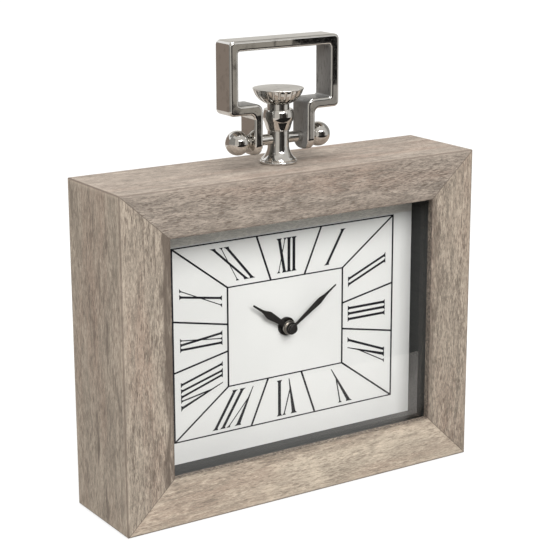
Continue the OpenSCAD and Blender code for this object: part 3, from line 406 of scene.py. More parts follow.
def float_glass():
    """Float glass, polished by the melt and coated against glare: clear, with a faint mirror at a slant."""
    made, tree, shader = finish("float_glass", tone("#F4FAF8"), roughness=0.02)
    made.blend_method = "BLEND"
    tree.nodes.remove(shader)
    clear = put(tree, "BsdfTransparent", {"Color": tone("#FFFFFF")})
    mirror = put(tree, "BsdfGlossy", {"Color": tone("#FFFFFF"), "Roughness": 0.02})
    rise = put(tree, "Math", {0: put(tree, "Fresnel", {"IOR": 1.5}), 1: COATED}, operation="MULTIPLY")
    pane = put(tree, "MixShader", {0: rise, 1: clear, 2: mirror})
    feed(tree.nodes["Material Output"], {"Surface": pane})
    return made


def stained_liner():
    """Poplar strip, stained black and lacquered satin: near black, and it mirrors the dial softly."""
    made, tree, shader = finish("black_lacquered_poplar", tone("#1B1C1B"), roughness=0.34, specular=0.3)
    grain = speckle(tree, 1.2, 12, "y", 5, 3)
    mottle(tree, shader, tone("#191A19"), tone("#212221"), (0.35, 0.7), grain, 0.03)
    return made


def coated_card():
    """Matt coated card, calendered: an even cool white with a faint tooth."""
    dial = bpy.context.scene.clock_dial
    made, tree, shader = finish("coated_card", dial.card_tone, roughness=0.55, specular=0.3)
    fibre = speckle(tree, 0.7, seed=2)
    cast = speckle(tree, 50, seed=3, detail=1)
    body, _ = veil(tree, dial.card_tone, shade(dial.card_tone, 0.975), 1.0, 0.4, 0.6, cast)
    body, _ = veil(tree, body, shade(dial.card_tone, 0.94), 0.4, 0.4, 0.7, fibre)
    bump = put(tree, "Bump", {"Height": fibre, "Distance": 0.01 * MM})
    feed(shader, {"Base Color": body, "Normal": bump})
    return made


def grey_board():
    """Pressed grey board, sawn: warm grey with short paler and darker fibres."""
    board = bpy.context.scene.clock_dial.board_tone
    made, tree, shader = finish("pressed_grey_board", board, roughness=0.85, specular=0.2)
    fibre = speckle(tree, 0.6, 3, "x", 9)
    blot = speckle(tree, 12, seed=8)
    body, _ = veil(tree, shade(board, 0.85), shade(board, 1.12), 1.0, 0.3, 0.7, fibre)
    body, _ = veil(tree, body, shade(board, 0.8), 0.4, 0.4, 0.7, blot)
    bump = put(tree, "Bump", {"Height": fibre, "Distance": 0.05 * MM})
    feed(shader, {"Base Color": body, "Normal": bump})
    return made


def printing_ink():
    """Offset ink on coated card: dense blue-black, a little glossier than the card."""
    ink = bpy.context.scene.clock_dial.ink_tone
    made, tree, shader = finish("offset_printing_ink", ink, roughness=0.42, specular=0.3)
    body, _ = veil(tree, ink, shade(ink, 1.6), 1.0, 0.3, 0.7, speckle(tree, 0.5, seed=4, detail=1))
    feed(shader, {"Base Color": body})
    return made


def print_sheet(name, outlines, ink):
    """Lays flat outlines, given in metres from the print's centre, as ink on the card."""
    dial = bpy.context.scene.clock_dial
    sheet = bmesh.new()
    centre = Vector((dial.shift_x, DIAL_Y - dial.ink_lift, DIAL_Z + dial.shift_z))
    for outline in outlines:
        face = sheet.faces.new([sheet.verts.new(centre + Vector((x, 0, z))) for x, z in outline])
        face.normal_update()
        if face.normal.y > 0:
            face.normal_flip()
    data = bpy.data.meshes.new(name)
    sheet.to_mesh(data)
    sheet.free()
    data.materials.append(ink)
    piece = bpy.data.objects.new(name, data)
    bpy.context.scene.collection.objects.link(piece)
    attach(piece, "case")


def strip(start, end, width):
    """A straight line of a width, as four corners."""
    start, end = Vector(start), Vector(end)
    side = (end - start).orthogonal().normalized() * width / 2
    return [start + side, end + side, end - side, start - side]


def ring(left, right, half_z, across, upright):
    """Four lines round a rectangle, square at the corners, whose level and upright lines have two widths."""
    lines = []
    for z in (-half_z, half_z):
        lines.append(strip((left - upright / 2, z), (right + upright / 2, z), across))
    for x in (left, right):
        lines.append(strip((x, -half_z - across / 2), (x, half_z + across / 2), upright))
    return lines


# Where the lines between the hours meet the inner and the outer ring, mm from the dial's middle lines:
# along the top ring, which the bottom repeats turned round, and up the left and the right ring
LEVEL_DIVIDERS = ((-12.0, -22.9), (14.4, 27.8))
SIDE_DIVIDERS = ((8.8, 16.9), (-9.2, -17.5))


class CLOCK_OT_print_rings(Operator):
    """Prints the two rings of the dial and the lines between the hours"""

    bl_idname = "clock.print_rings"
    bl_label = "Print Rings"

    def execute(self, context):
        dial = context.scene.clock_dial
        ink = printing_ink()
        widths = (dial.line_across, dial.line_upright)
        outer = {s: dial.outer_shift + s * dial.outer_x for s in (-1, 1)}
        inner = {s: s * dial.inner_x for s in (-1, 1)}
        print_sheet("dial_outer_ring", ring(outer[-1], outer[1], dial.outer_z, *widths), ink)
        print_sheet("dial_inner_ring", ring(inner[-1], inner[1], dial.inner_z, *widths), ink)
        lines = []
        for s in (-1, 1):
            for near, far in LEVEL_DIVIDERS:
                start, end = (s * near * MM, s * dial.inner_z), (s * far * MM, s * dial.outer_z)
                lines.append(strip(start, end, dial.upright_divider))
            for near, far in SIDE_DIVIDERS:
                lines.append(strip((inner[s], near * MM), (outer[s], far * MM), dial.divider))
            for t in (-1, 1):
                start, end = (inner[s], t * dial.inner_z), (outer[s], t * dial.outer_z)
                lines.append(strip(start, end, dial.divider))
        print_sheet("dial_hour_lines", lines, ink)
        return {"FINISHED"}


# Each side of the ring: how far its numerals reach out from the dial's middle, and the widths of its thick
# and thin strokes, all in mm
SIDES = {
    "top": {"reach": (37.1, 60.4), "thick": 2.2, "thin": 0.65},
    "right": {"reach": (49.9, 81.1), "thick": 1.7, "thin": 0.6},
    "bottom": {"reach": (36.7, 61.8), "thick": 2.35, "thin": 0.7},
    "left": {"reach": (49.4, 80.9), "thick": 1.5, "thin": 0.7},
}

# Strokes of each Roman numeral, mm along its side at the outer and the inner end, with the tops outward.
# A vee gives its point at the inner end, then its thick and its thin arm at the outer end.
NUMERALS = {
    "I": ("top", [("thick", 45.6, 32.2)]),
    "II": ("right", [("thick", 37.6, 24.6), ("thick", 33.7, 20.8)]),
    "III": ("right", [("thick", 4.2, 4.3), ("thick", 0.5, 0.5), ("thick", -3.5, -3.4)]),
    "IV": ("right", [("thick", -30.0, -17.9), ("vee", -23.5, -33.4, -38.2)]),
    "V": ("bottom", [("vee", 36.5, 51.5, 44.1)]),
    "VI": ("bottom", [("vee", 2.1, 6.0, -2.0), ("thick", -5.5, -5.5)]),
    "VII": ("bottom", [("vee", -26.2, -38.4, -45.9), ("thick", -50.1, -34.2), ("thick", -55.8, -40.0)]),
    "VIII": (
        "left",
        [
            ("vee", -29.7, -42.0, -37.1),
            ("thick", -34.4, -24.4),
            ("thick", -30.4, -21.5),
            ("thick", -26.2, -16.9),
        ],
    ),
    "IX": ("left", [("thick", -2.6, -2.6), ("thick", 0.5, 3.9), ("thin", 3.7, 0.1)]),
    "X": ("left", [("thick", 32.4, 27.2), ("thin", 36.6, 22.3)]),
    "XI": ("top", [("thick", -56.2, -30.4), ("thin", -49.9, -37.4), ("thick", -45.9, -26.1)]),
    "XII": ("top", [("thick", -5.5, -1.3), ("thin", -0.8, -6.0), ("thick", 2.2, 2.1), ("thick", 6.1, 6.0)]),
}
TO_DIAL = {
    "top": lambda u, v: (u, v),
    "right": lambda u, v: (v, u),
    "bottom": lambda u, v: (u, -v),
    "left": lambda u, v: (-v, u),
}
# Share of a vee's height at which its thin arm joins, and how much wider than other strokes its arms are
VEE_JOIN = 0.27
VEE_THICK = 1.3
VEE_THIN = 1.4
# Shares of a serif's height at which it is drawn, and the power that hollows its sides
SERIF_STEPS = (0, 0.12, 0.3, 0.6, 1)
SERIF_HOLLOW = 1.5


def stroke(ends, reach, widths, serifs):
    """One stroke from the outer to the inner end, with a hollow-sided serif at each end that is named."""
    dial = bpy.context.scene.clock_dial
    low, high = reach
    length = high - low
    flares = [(s * dial.serif_rise / length, (1 - s) ** SERIF_HOLLOW) for s in SERIF_STEPS]
    marks = [(run, flare * serifs[0]) for run, flare in flares]
    marks += [(1 - run, flare * serifs[1]) for run, flare in reversed(flares)]
    one, other = [], []
    for run, flare in marks:
        u = ends[0] + run * (ends[1] - ends[0])
        half = (widths[0] + run * (widths[1] - widths[0])) / 2 + flare * dial.serif
        one.append((u - half, high - run * length))
        other.append((u + half, high - run * length))
    return one + other[::-1]


class CLOCK_OT_print_numerals(Operator):
    """Prints the twelve Roman numerals, one piece each"""

    bl_idname = "clock.print_numerals"
    bl_label = "Print Numerals"

    def execute(self, context):
        ink = bpy.data.materials["offset_printing_ink"]
        for numeral, (side, strokes) in NUMERALS.items():
            low, high = (v * MM for v in SIDES[side]["reach"])
            thick, thin = SIDES[side]["thick"] * MM, SIDES[side]["thin"] * MM
            outlines = []
            for kind, *ends in strokes:
                ends = [v * MM for v in ends]
                if kind == "vee":
                    point, thick_end, thin_end = ends
                    join = low + VEE_JOIN * (high - low)
                    meet = point + VEE_JOIN * (thick_end - point)
                    widths, arm = (VEE_THICK * thick, thin), VEE_THIN * thin
                    outlines.append(stroke((thick_end, point), (low, high), widths, (True, False)))
                    outlines.append(stroke((thin_end, meet), (join, high), (arm, arm), (True, False)))
                else:
                    width = thick if kind == "thick" else thin
                    outlines.append(stroke(ends, (low, high), (width, width), (True, True)))
            turned = [[TO_DIAL[side](u, v) for u, v in outline] for outline in outlines]
            print_sheet(f"numeral_{numeral}", turned, ink)
        return {"FINISHED"}


class CLOCK_OT_finish_dial(Operator):
    """Finishes the glass, the black liners, the card and the boards"""

    bl_idname = "clock.finish_dial"
    bl_label = "Finish Dial"

    def execute(self, context):
        dress(float_glass(), "glass_pane")
        dress(stained_liner(), "spacer_top", "spacer_bottom", "spacer_left", "spacer_right")
        dress(coated_card(), "dial_card")
        retainers = ("retainer_top", "retainer_bottom", "retainer_left", "retainer_right")
        dress(grey_board(), "dial_board", *retainers)
        return {"FINISHED"}


# Metal and hands


# Roughness of the polish where it is best and worst, and how deep a pit is against a wave
POLISH = (0.03, 0.1)
PIT_DEPTH = 0.06
# The bail's inner faces: how far from the bar's inner side they may lie, how much they may turn away, and
# how much rougher and less metallic than the polish they are
INSIDE_SLACK = 0.3 * MM
TURNED_AWAY = 0.5
TUMBLED_ROUGHNESS = 0.26
TUMBLED_LOSS = 0.6
# The crown's top: how far below its highest point it reaches, and how much rougher than the polish it is
BRUSHED_DEPTH = 0.2 * MM
BRUSHED_ROUGHNESS = 0.3


def polished_nickel():
    """Cast aluminium, buffed by hand and nickel plated: a warm mirror, a little wavy, with a few pits."""
    metal = bpy.context.scene.clock_metal
    made, tree, shader = finish("polished_nickel_casting", metal.nickel_tone, roughness=0.09, metallic=1.0)
    wave = speckle(tree, metal.wave / MM, seed=6, detail=1)
    pits = speckle(tree, 0.9, seed=7, detail=1)
    haze = speckle(tree, 6, seed=8, detail=3)
    body, _ = veil(tree, metal.nickel_tone, shade(metal.nickel_tone, 0.82), 1.0, 0.5, 0.75, haze)
    into = {"Value": haze, "From Min": 0.35, "From Max": 0.7, "To Min": POLISH[0], "To Max": POLISH[1]}
    dull = put(tree, "MapRange", into)
    pits = put(tree, "MapRange", {"Value": pits, "From Min": 0.74, "From Max": 0.8})
    height = put(tree, "Math", {0: pits, 1: -PIT_DEPTH, 2: wave}, operation="MULTIPLY_ADD")
    bump = put(tree, "Bump", {"Height": height, "Distance": 0.26 * MM, "Strength": 1.0})
    feed(shader, {"Base Color": body, "Roughness": dull, "Normal": bump})
    return made


def tumbled_inside(polished):
    """The same casting, with the faces inside the bail only tumbled: they blur what they mirror.

    Their grey is a painted shade, dark at the front and paler towards the back.
    """
    made = polished.copy()
    made.name = "nickel_bail_tumbled_inside"
    tree = made.node_tree
    shader = tree.nodes["Principled BSDF"]
    low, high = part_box("bail_handle")
    bar = bpy.context.scene.clock_metal.bar
    here = put(tree, "TexCoord", {}).outputs["Object"]
    split = put(tree, "SeparateXYZ", {"Vector": here}).outputs
    x = put(tree, "Math", {0: split["X"]}, operation="ABSOLUTE")
    beside = put(tree, "Math", {0: high.x - bar + INSIDE_SLACK, 1: x}, operation="GREATER_THAN")
    under = put(tree, "Math", {0: high.z - bar + INSIDE_SLACK, 1: split["Z"]}, operation="GREATER_THAN")
    facing = put(tree, "NewGeometry", {}).outputs["Normal"]
    facing = put(tree, "SeparateXYZ", {"Vector": facing}).outputs
    depth = put(tree, "Math", {0: facing["Y"]}, operation="ABSOLUTE")
    level = put(tree, "Math", {0: depth, 1: TURNED_AWAY}, operation="LESS_THAN")
    inside = put(tree, "Math", {0: beside, 1: under}, operation="MULTIPLY")
    inside = put(tree, "Math", {0: inside, 1: level}, operation="MULTIPLY")
    hand = put(tree, "Math", {0: split["X"]}, operation="SIGN")
    outward = put(tree, "Math", {0: facing["X"], 1: hand}, operation="MULTIPLY")
    inward = put(tree, "Math", {0: outward, 1: TURNED_AWAY}, operation="LESS_THAN")
    inside = put(tree, "Math", {0: inside, 1: inward}, operation="MULTIPLY")
    source = shader.inputs["Roughness"].links[0].from_socket
    rough = put(tree, "Math", {0: inside, 1: TUMBLED_ROUGHNESS, 2: source}, operation="MULTIPLY_ADD")
    plate = shader.inputs["Base Color"].links[0].from_socket
    # Painted shade on the inner faces: dark grey at the front, paler towards the back, with darker scuffs
    into = {"Value": split["Y"], "From Min": low.y, "From Max": high.y}
    across = put(tree, "MapRange", into)
    dull = {"Factor": across, "A": tone("#6A6967"), "B": tone("#A3A29F")}
    dull = put(tree, "Mix", dull, data_type="RGBA")
    scuffs = speckle(tree, 1.5, 5, "z", 9, 4, crisp=0.7)
    dull, _ = veil(tree, dull, tone("#4E4D4C"), 0.8, 0.5, 0.7, scuffs)
    plate = put(tree, "Mix", {"Factor": inside, "A": plate, "B": dull}, data_type="RGBA")
    skin = put(tree, "Math", {0: inside, 1: -TUMBLED_LOSS, 2: 1.0}, operation="MULTIPLY_ADD")
    feed(shader, {"Roughness": rough, "Base Color": plate, "Metallic": skin})
    return made


def turned_crown(polished):
    """The same casting, with the crown's top turned and left brushed: fine rings that spread the light."""
    metal = bpy.context.scene.clock_metal
    made = polished.copy()
    made.name = "nickel_crown_brushed_top"
    tree = made.node_tree
    shader = tree.nodes["Principled BSDF"]
    here = put(tree, "TexCoord", {}).outputs["Object"]
    height = put(tree, "SeparateXYZ", {"Vector": here}).outputs["Z"]
    top = put(tree, "Math", {0: height, 1: CROWN_TOP - BRUSHED_DEPTH}, operation="GREATER_THAN")
    into = {"Vector": here, "Scale": 1 / (WAVE_BANDS * metal.brush), "Distortion": 0.6, "Detail": 1.0}
    rings = put(tree, "TexWave", into, wave_type="RINGS", rings_direction="Z")
    rings = put(tree, "Math", {0: rings.outputs["Fac"], 1: top}, operation="MULTIPLY")
    old = shader.inputs["Normal"].links[0].from_node
    brushed = put(tree, "Bump", {"Height": rings, "Distance": 0.02 * MM, "Normal": old})
    source = shader.inputs["Roughness"].links[0].from_socket
    rough = put(tree, "Math", {0: top, 1: BRUSHED_ROUGHNESS, 2: source}, operation="MULTIPLY_ADD")
    feed(shader, {"Normal": brushed, "Roughness": rough})
    return made


def turned_brass_plate():
    """Turned brass, nickel plated: grey-beige and soft, with rings from the tool."""
    made, tree, shader = finish("nickel_plated_turned_brass", tone("#C2BEB7"), roughness=0.32, metallic=1.0)
    rings = speckle(tree, 0.4, 20, "x", 12, 1)
    stain = speckle(tree, 2, seed=13)
    body, _ = veil(tree, tone("#CBC7C0"), tone("#A39D95"), 1.0, 0.4, 0.7, stain)
    bump = put(tree, "Bump", {"Height": rings, "Distance": 0.02 * MM})
    feed(shader, {"Base Color": body, "Normal": bump})
    return made


def black_lacquer():
    """Stamped aluminium, sprayed with black satin lacquer: brown-black, a soft sheen and orange peel."""
    hands = bpy.context.scene.clock_metal.hand_tone
    made, tree, shader = finish("black_satin_lacquer", hands, roughness=0.45, specular=0.4)
    peel = speckle(tree, 0.6, seed=14, detail=1)
    mottle(tree, shader, hands, shade(hands, 1.5), (0.4, 0.7), peel, 0.02)
    return made


def blackened_nut():
    """Milled brass nut, chemically blackened: almost black, worn warm where the spanner turned it."""
    made, tree, shader = finish("blackened_brass_nut", tone("#201F1D"), roughness=0.38, metallic=0.6)
    worn = speckle(tree, 1.5, seed=15, detail=3)
    mottle(tree, shader, tone("#1B1A18"), tone("#4A443B"), (0.55, 0.75), worn, 0.03)
    return made


# How the hands widen: share of the length from the axis, and half the width there in mm
BLADES = {
    "hour": (
        (0.1, 1.5), (0.3, 1.95), (0.45, 2.42), (0.55, 2.66), (0.61, 2.25), (0.66, 1.6), (0.71, 1.15),
        (0.76, 0.9), (0.88, 0.75), (1.0, 0.62),
    ),
    "minute": (
        (0.05, 0.95), (0.2, 1.18), (0.4, 1.6), (0.54, 1.97), (0.63, 2.15), (0.69, 1.65), (0.75, 1.12),
        (0.8, 0.88), (0.86, 0.74), (0.93, 0.62), (1.0, 0.5),
    ),
}
BOSS_STEPS = 64
# Corners this near the greatest length belong to a hand's tip, and the boss stands this far in front of its
# solid, so that no two faces share a plane
TIP_SLACK = 0.02 * MM
BOSS_PROUD = 0.01 * MM


def hand_frame(node):
    """Where a hand points, how long it is and the radius of its hole, from its corners."""
    spots = [Vector((v.co.x, 0, v.co.z - DIAL_Z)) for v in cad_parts[node].data.vertices]
    length = max(spot.length for spot in spots)
    tips = [spot for spot in spots if spot.length > length - TIP_SLACK]
    return sum(tips, Vector()).normalized(), length, min(spot.length for spot in spots)


def loft(shape, loops, closed):
    """Skins a row of loops that have the same number of corners, and caps the ends of an open row."""
    rows = [[shape.verts.new(spot) for spot in loop] for loop in loops]
    for one, other in zip(rows, rows[1:] + rows[:1] if closed else rows[1:]):
        for i in range(len(one)):
            j = (i + 1) % len(one)
            shape.faces.new((one[i], one[j], other[j], other[i]))
    if not closed:
        shape.faces.new(rows[0])
        shape.faces.new(rows[-1])


class CLOCK_OT_cut_hands(Operator):
    """Cuts the two hands, each a bevelled blade on a round boss, with the widths measured on the photo"""

    bl_idname = "clock.cut_hands"
    bl_label = "Cut Hands"

    def execute(self, context):
        metal = context.scene.clock_metal
        edge = metal.hand_edge
        for body, stations in BLADES.items():
            node = f"{body}_hand"
            out, length, hole = hand_frame(node)
            side = Vector((out.z, 0, -out.x))
            front, back = (corner.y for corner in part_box(node))
            middle = (front + back) / 2
            face, rear = middle - metal.hand_plate / 2, middle + metal.hand_plate / 2
            loops = []
            for share, half in stations:
                half *= MM
                section = ((-half, rear), (-half, face + edge), (-half + edge, face))
                section += ((half - edge, face), (half, face + edge), (half, rear))
                spot = Vector((0, 0, DIAL_Z)) + share * length * out
                loops.append([spot + u * side + Vector((0, y, 0)) for u, y in section])
            shape = bmesh.new()
            loft(shape, loops, closed=False)
            rim = metal.hand_boss
            front -= BOSS_PROUD
            profile = ((hole, back), (rim, back), (rim, front + edge), (rim - edge, front), (hole, front))
            turns = [2 * math.pi * i / BOSS_STEPS for i in range(BOSS_STEPS)]
            turned = [(math.sin(turn), math.cos(turn)) for turn in turns]
            rounds = [[(r * u, y, DIAL_Z + r * v) for r, y in profile] for u, v in turned]
            loft(shape, rounds, closed=True)
            bmesh.ops.recalc_face_normals(shape, faces=shape.faces)
            data = bpy.data.meshes.new(f"{node}_blade")
            shape.to_mesh(data)
            shape.free()
            data.materials.append(bpy.data.materials["black_satin_lacquer"])
            piece = bpy.data.objects.new(f"{node}_blade", data)
            context.scene.collection.objects.link(piece)
            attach(piece, body)
            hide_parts(node)
        return {"FINISHED"}


class CLOCK_OT_finish_handle(Operator):
    """Plates the bail, its post, crown, pin and ball nuts"""

    bl_idname = "clock.finish_handle"
    bl_label = "Finish Handle"

    def execute(self, context):
        nickel = polished_nickel()
        dress(nickel, "handle_post", "cross_pin", "ball_nut_left", "ball_nut_right")
        dress(tumbled_inside(nickel), "bail_handle")
        dress(turned_crown(nickel), "crown_knob")
        return {"FINISHED"}


class CLOCK_OT_finish_hands(Operator):
    """Lacquers the hands and plates the turned parts that hold them"""

    bl_idname = "clock.finish_hands"
    bl_label = "Finish Hands"

    def execute(self, context):
        dress(black_lacquer(), "hour_hand", "minute_hand", "end_cap")
        dress(turned_brass_plate(), "hour_collet", "minute_nut", "minute_tube")
        dress(blackened_nut(), "fixing_nut")
        return {"FINISHED"}


# Back and movement


def black_back_board():
    """Pressed board, rolled with black paint: dull, with the roller's fine stipple and a little dust."""
    made, tree, shader = finish("black_rolled_board", tone("#242220"), roughness=0.7, specular=0.3)
    stipple = speckle(tree, 1.2, seed=16, detail=3)
    dust = speckle(tree, 20, seed=17, detail=4)
    body, _ = veil(tree, tone("#211F1D"), tone("#2E2B28"), 1.0, 0.35, 0.7, stipple)
    body, _ = veil(tree, body, tone("#57524B"), 0.35, 0.5, 0.75, dust)
    bump = put(tree, "Bump", {"Height": stipple, "Distance": 0.08 * MM})
    feed(shader, {"Base Color": body, "Normal": bump})
    return made


def zinc_steel():
    """Steel, cold headed and zinc plated: pale grey with a faint blue and yellow cast."""
    made, tree, shader = finish("zinc_plated_steel", tone("#B9BBBC"), roughness=0.34, metallic=1.0)
    cast = speckle(tree, 2, seed=18, detail=3)
    mottle(tree, shader, tone("#B4BAC2"), tone("#C2B99F"), (0.4, 0.65), cast, 0.03)
    return made


def moulded_gasket():
    """Foam rubber, die cut: dull black with open cells."""
    made, tree, shader = finish("foam_rubber_gasket", tone("#1E1E1E"), roughness=0.9, specular=0.2)
    cells = speckle(tree, 0.5, seed=19, detail=1)
    mottle(tree, shader, tone("#262626"), tone("#0E0E0E"), (0.5, 0.65), cells, 0.15)
    return made


def moulded_shell():
    """Polystyrene, moulded in a spark-eroded tool: black with an even fine grain and a soft sheen."""
    made, tree, shader = finish("black_moulded_polystyrene", tone("#1C1D1E"), roughness=0.5, specular=0.45)
    grain = speckle(tree, 0.5, seed=20, detail=2)
    mottle(tree, shader, tone("#191A1B"), tone("#26272A"), (0.35, 0.7), grain, 0.05)
    return made


def white_acetal():
    """Acetal, moulded: milky white, a little greasy in its shine."""
    made, tree, shader = finish("moulded_white_acetal", tone("#E7E3D8"), roughness=0.35, specular=0.5)
    flow = speckle(tree, 4, seed=21, detail=2, bend=0.8)
    mottle(tree, shader, tone("#EAE7DD"), tone("#DAD5C6"), (0.4, 0.65), flow, 0.01)
    return made


# The cell: share of its length that the coloured band takes, and length of the bare cap
BAND_SHARE = 0.3
CAP_LENGTH = 1.2 * MM


def cell_sleeve():
    """Steel cell in a plain shrunk sleeve: dark slate with a copper-coloured band at the positive end."""
    made, tree, shader = finish("plain_battery_sleeve", tone("#3A3F46"), roughness=0.35, metallic=0.4)
    low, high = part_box("battery")
    here = put(tree, "TexCoord", {}).outputs["Object"]
    x = put(tree, "SeparateXYZ", {"Vector": here}).outputs["X"]
    scuff = speckle(tree, 2, 8, "x", 22, 3)
    body, _ = veil(tree, tone("#363B42"), tone("#4A5058"), 1.0, 0.4, 0.7, scuff)
    length = high.x - low.x
    start = high.x - BAND_SHARE * length
    body, _ = veil(tree, body, tone("#B07A4B"), 1.0, start, start + 0.01 * length, x)
    bare = put(tree, "Math", {0: high.x - CAP_LENGTH, 1: x}, operation="LESS_THAN")
    body = put(tree, "Mix", {"Factor": bare, "A": body, "B": tone("#B8B8B6")}, data_type="RGBA")
    feed(shader, {"Base Color": body})
    return made


def spring_strip():
    """Spring steel, rolled and nickel plated: pale, with fine lines along the strip."""
    made, tree, shader = finish("nickel_plated_spring_steel", tone("#C6C2BA"), roughness=0.3, metallic=1.0)
    lines = speckle(tree, 0.3, 10, "z", 23, 1)
    mottle(tree, shader, tone("#CBC7BF"), tone("#A9A59D"), (0.45, 0.7), lines, 0.01)
    return made


# Distance between the tracks on the circuit board, and width of a track as a share of it
TRACK_PITCH = 3.2 * MM
TRACK_WIDTH = 0.06


def circuit_laminate():
    """Glass-fibre laminate under green solder mask: paler tracks and a woven tooth."""
    made, tree, shader = finish("green_circuit_laminate", tone("#2F6B45"), roughness=0.35)
    here = put(tree, "TexCoord", {}).outputs["Object"]
    level = put(tree, "Mapping", {"Vector": here, "Rotation": (math.pi / 2, 0, 0)})
    into = {"Vector": level, "Scale": 1 / TRACK_PITCH, "Mortar Size": TRACK_WIDTH}
    tones = {"Mortar": tone("#5E9A62"), "Color1": tone("#2B6340"), "Color2": tone("#2F6B45")}
    tracks = put(tree, "TexBrick", {**into, **tones})
    weave = speckle(tree, 0.6, seed=24, detail=1)
    body, _ = veil(tree, tracks.outputs["Color"], tone("#1F5233"), 0.5, 0.5, 0.7, weave)
    bump = put(tree, "Bump", {"Height": tracks.outputs["Fac"], "Distance": 0.04 * MM})
    feed(shader, {"Base Color": body, "Normal": bump})
    return made


def epoxy_drop():
    """Epoxy, poured over the chip: black and glossy, with a shallow skin."""
    made, tree, shader = finish("poured_black_epoxy", tone("#141414"), roughness=0.18)
    skin = speckle(tree, 2, seed=25)
    mottle(tree, shader, tone("#121212"), tone("#1F1F20"), (0.4, 0.7), skin, 0.08)
    return made


# Distance between the turns of the coil, far coarser than the real wire, to show
TURN_PITCH = 1.571 * MM


def enamelled_coil():
    """Enamelled copper wire, wound in layers: a red-brown gloss with dark lines between the turns."""
    made, tree, shader = finish("enamelled_copper_winding", tone("#B4602F"), roughness=0.28, metallic=0.9)
    here = put(tree, "TexCoord", {}).outputs["Object"]
    into = {"Vector": here, "Scale": 1 / (WAVE_BANDS * TURN_PITCH), "Distortion": 0.2, "Detail": 1.0}
    turns = put(tree, "TexWave", into, wave_type="BANDS", bands_direction="X", wave_profile="SIN")
    mottle(tree, shader, tone("#7A3C1C"), tone("#C8743C"), (0.2, 0.8), turns.outputs["Fac"], 0.1)
    return made


def silicon_steel():
    """Silicon steel, stamped and annealed: mid grey with blue heat tints."""
    made, tree, shader = finish("annealed_silicon_steel", tone("#8A8D92"), roughness=0.42, metallic=1.0)
    tint = speckle(tree, 3, seed=26, detail=3)
    mottle(tree, shader, tone("#94969A"), tone("#6F7684"), (0.4, 0.65), tint, 0.01)
    return made


def bonded_magnet():
    """Bonded ferrite with its moulded pinion: charcoal, with a dry grain."""
    made, tree, shader = finish("bonded_ferrite", tone("#3B3B3E"), roughness=0.6, specular=0.4)
    grit = speckle(tree, 0.3, seed=27, detail=2)
    mottle(tree, shader, tone("#343437"), tone("#4A4A4F"), (0.4, 0.7), grit, 0.03)
    return made


class CLOCK_OT_finish_movement(Operator):
    """Finishes the back panel, the screws and everything inside the movement"""

    bl_idname = "clock.finish_movement"
    bl_label = "Finish Movement"

    def execute(self, context):
        dress(black_back_board(), "back_panel")
        dress(zinc_steel(), "back_screws", "handle_screw", "handle_washer")
        dress(moulded_gasket(), "gasket")
        dress(moulded_shell(), "movement_case", "movement_cover")
        dress(cell_sleeve(), "battery")
        dress(spring_strip(), "contact_positive", "contact_negative", "crystal")
        dress(circuit_laminate(), "circuit_board")
        dress(epoxy_drop(), "chip")
        dress(enamelled_coil(), "coil_winding")
        dress(silicon_steel(), "stator")
        dress(bonded_magnet(), "rotor")
        wheels = ("fifth_wheel", "fourth_wheel", "third_wheel", "centre_wheel", "motion_wheel", "hour_wheel")
        dress(white_acetal(), "coil_bobbin", "set_knob", *wheels)
        return {"FINISHED"}


# Studio

# Cards that the polished metal mirrors, as degrees from the front towards the right, half their width,
# degrees above the horizon seen from the handle, and tone. Only mirrors see them.
CARDS = {
    "card_grey_door": (-20, 3, -14, 26, "#7D7A75"),
    "card_black_doorway": (-12, 5, -14, 26, "#333231"),
    "card_grey_hall": (-5.5, 1.5, -14, 24, "#A09C97"),
    "card_dark_room": (12, 17, -14, 22, "#34312F"),
    "card_grey_jamb": (31.3, 2.5, -10.6, 10, "#9C978F"),
    "card_black_low": (31.5, 2.5, -14, -10.6, "#262423"),
    "card_black_jamb": (36.5, 2.7, -7.8, 16, "#171616"),
    "card_grey_low": (36.5, 2.5, -14, -7.4, "#96928D"),
    "card_pale_right": (57, 18, -14, 44, "#CDCBC8"),
    "card_grey_right": (103, 28, -14, 38, "#9C9A96"),
    "card_pale_back": (152, 22, -2, 36, "#D2CFC9"),
    "card_brown_back": (-147, 32, -16, 22, "#8D8178"),
    "card_grey_left": (-86, 29, -14, 42, "#908E8A"),
    "card_beige_wall": (-40, 17, -14, 44, "#C6C2BC"),
    "card_pale_lintel": (8, 31, 27, 46, "#CBC8C3"),
}
CARD_DISTANCE = 1.1

# What mirrors see level with the floor or over the clock: a pale table, a dark cloth in front, the ceiling
# and its unlit part behind. Each is given by its x and y limits and height in metres, and its tone.
SHEETS = {
    "sheet_pale_table": ((-1.6, 1.6), (-1.6, 1.6), 0.0006, "#DDD6CF"),
    "sheet_dark_cloth": ((-0.35, 0.95), (-1.3, -0.225), 0.0012, "#242322"),
    "sheet_pale_ceiling": ((-2.2, 2.2), (-2.4, 0.25), 2.4, "#CFCCC7"),
    "sheet_dim_ceiling": ((-2.2, 2.2), (0.25, 2.6), 2.4, "#8F8D8A"),
}

# The soft boxes: where each stands, its width and height in metres, and the setting that holds its power
SOFT_BOXES = {
    "key_soft_box": ((-0.25, -2.4, 2.0), (2.4, 1.6), "key_power"),
    "top_soft_box": ((0.1, 0.1, 2.1), (1.2, 0.8), "top_power"),
    "side_soft_box": ((-2.3, -0.5, 1.1), (1.2, 1.2), "side_power"),
}
# What the soft boxes point at, and the sensor that the focal length is given for, mm
LIT_SPOT = (0, 0, 0.12)
SENSOR = 36
# Half the floor's width, how far below the clock it lies, and the distances in metres between which what
# the camera sees added to it grows to pure white
FLOOR_HALF = 15.0
FLOOR_DROP = 0.2 * MM
FLOOR_GROWS = (0.6, 3.0)
# A square's corners in order
SQUARE = ((-1, -1), (1, -1), (1, 1), (-1, 1))


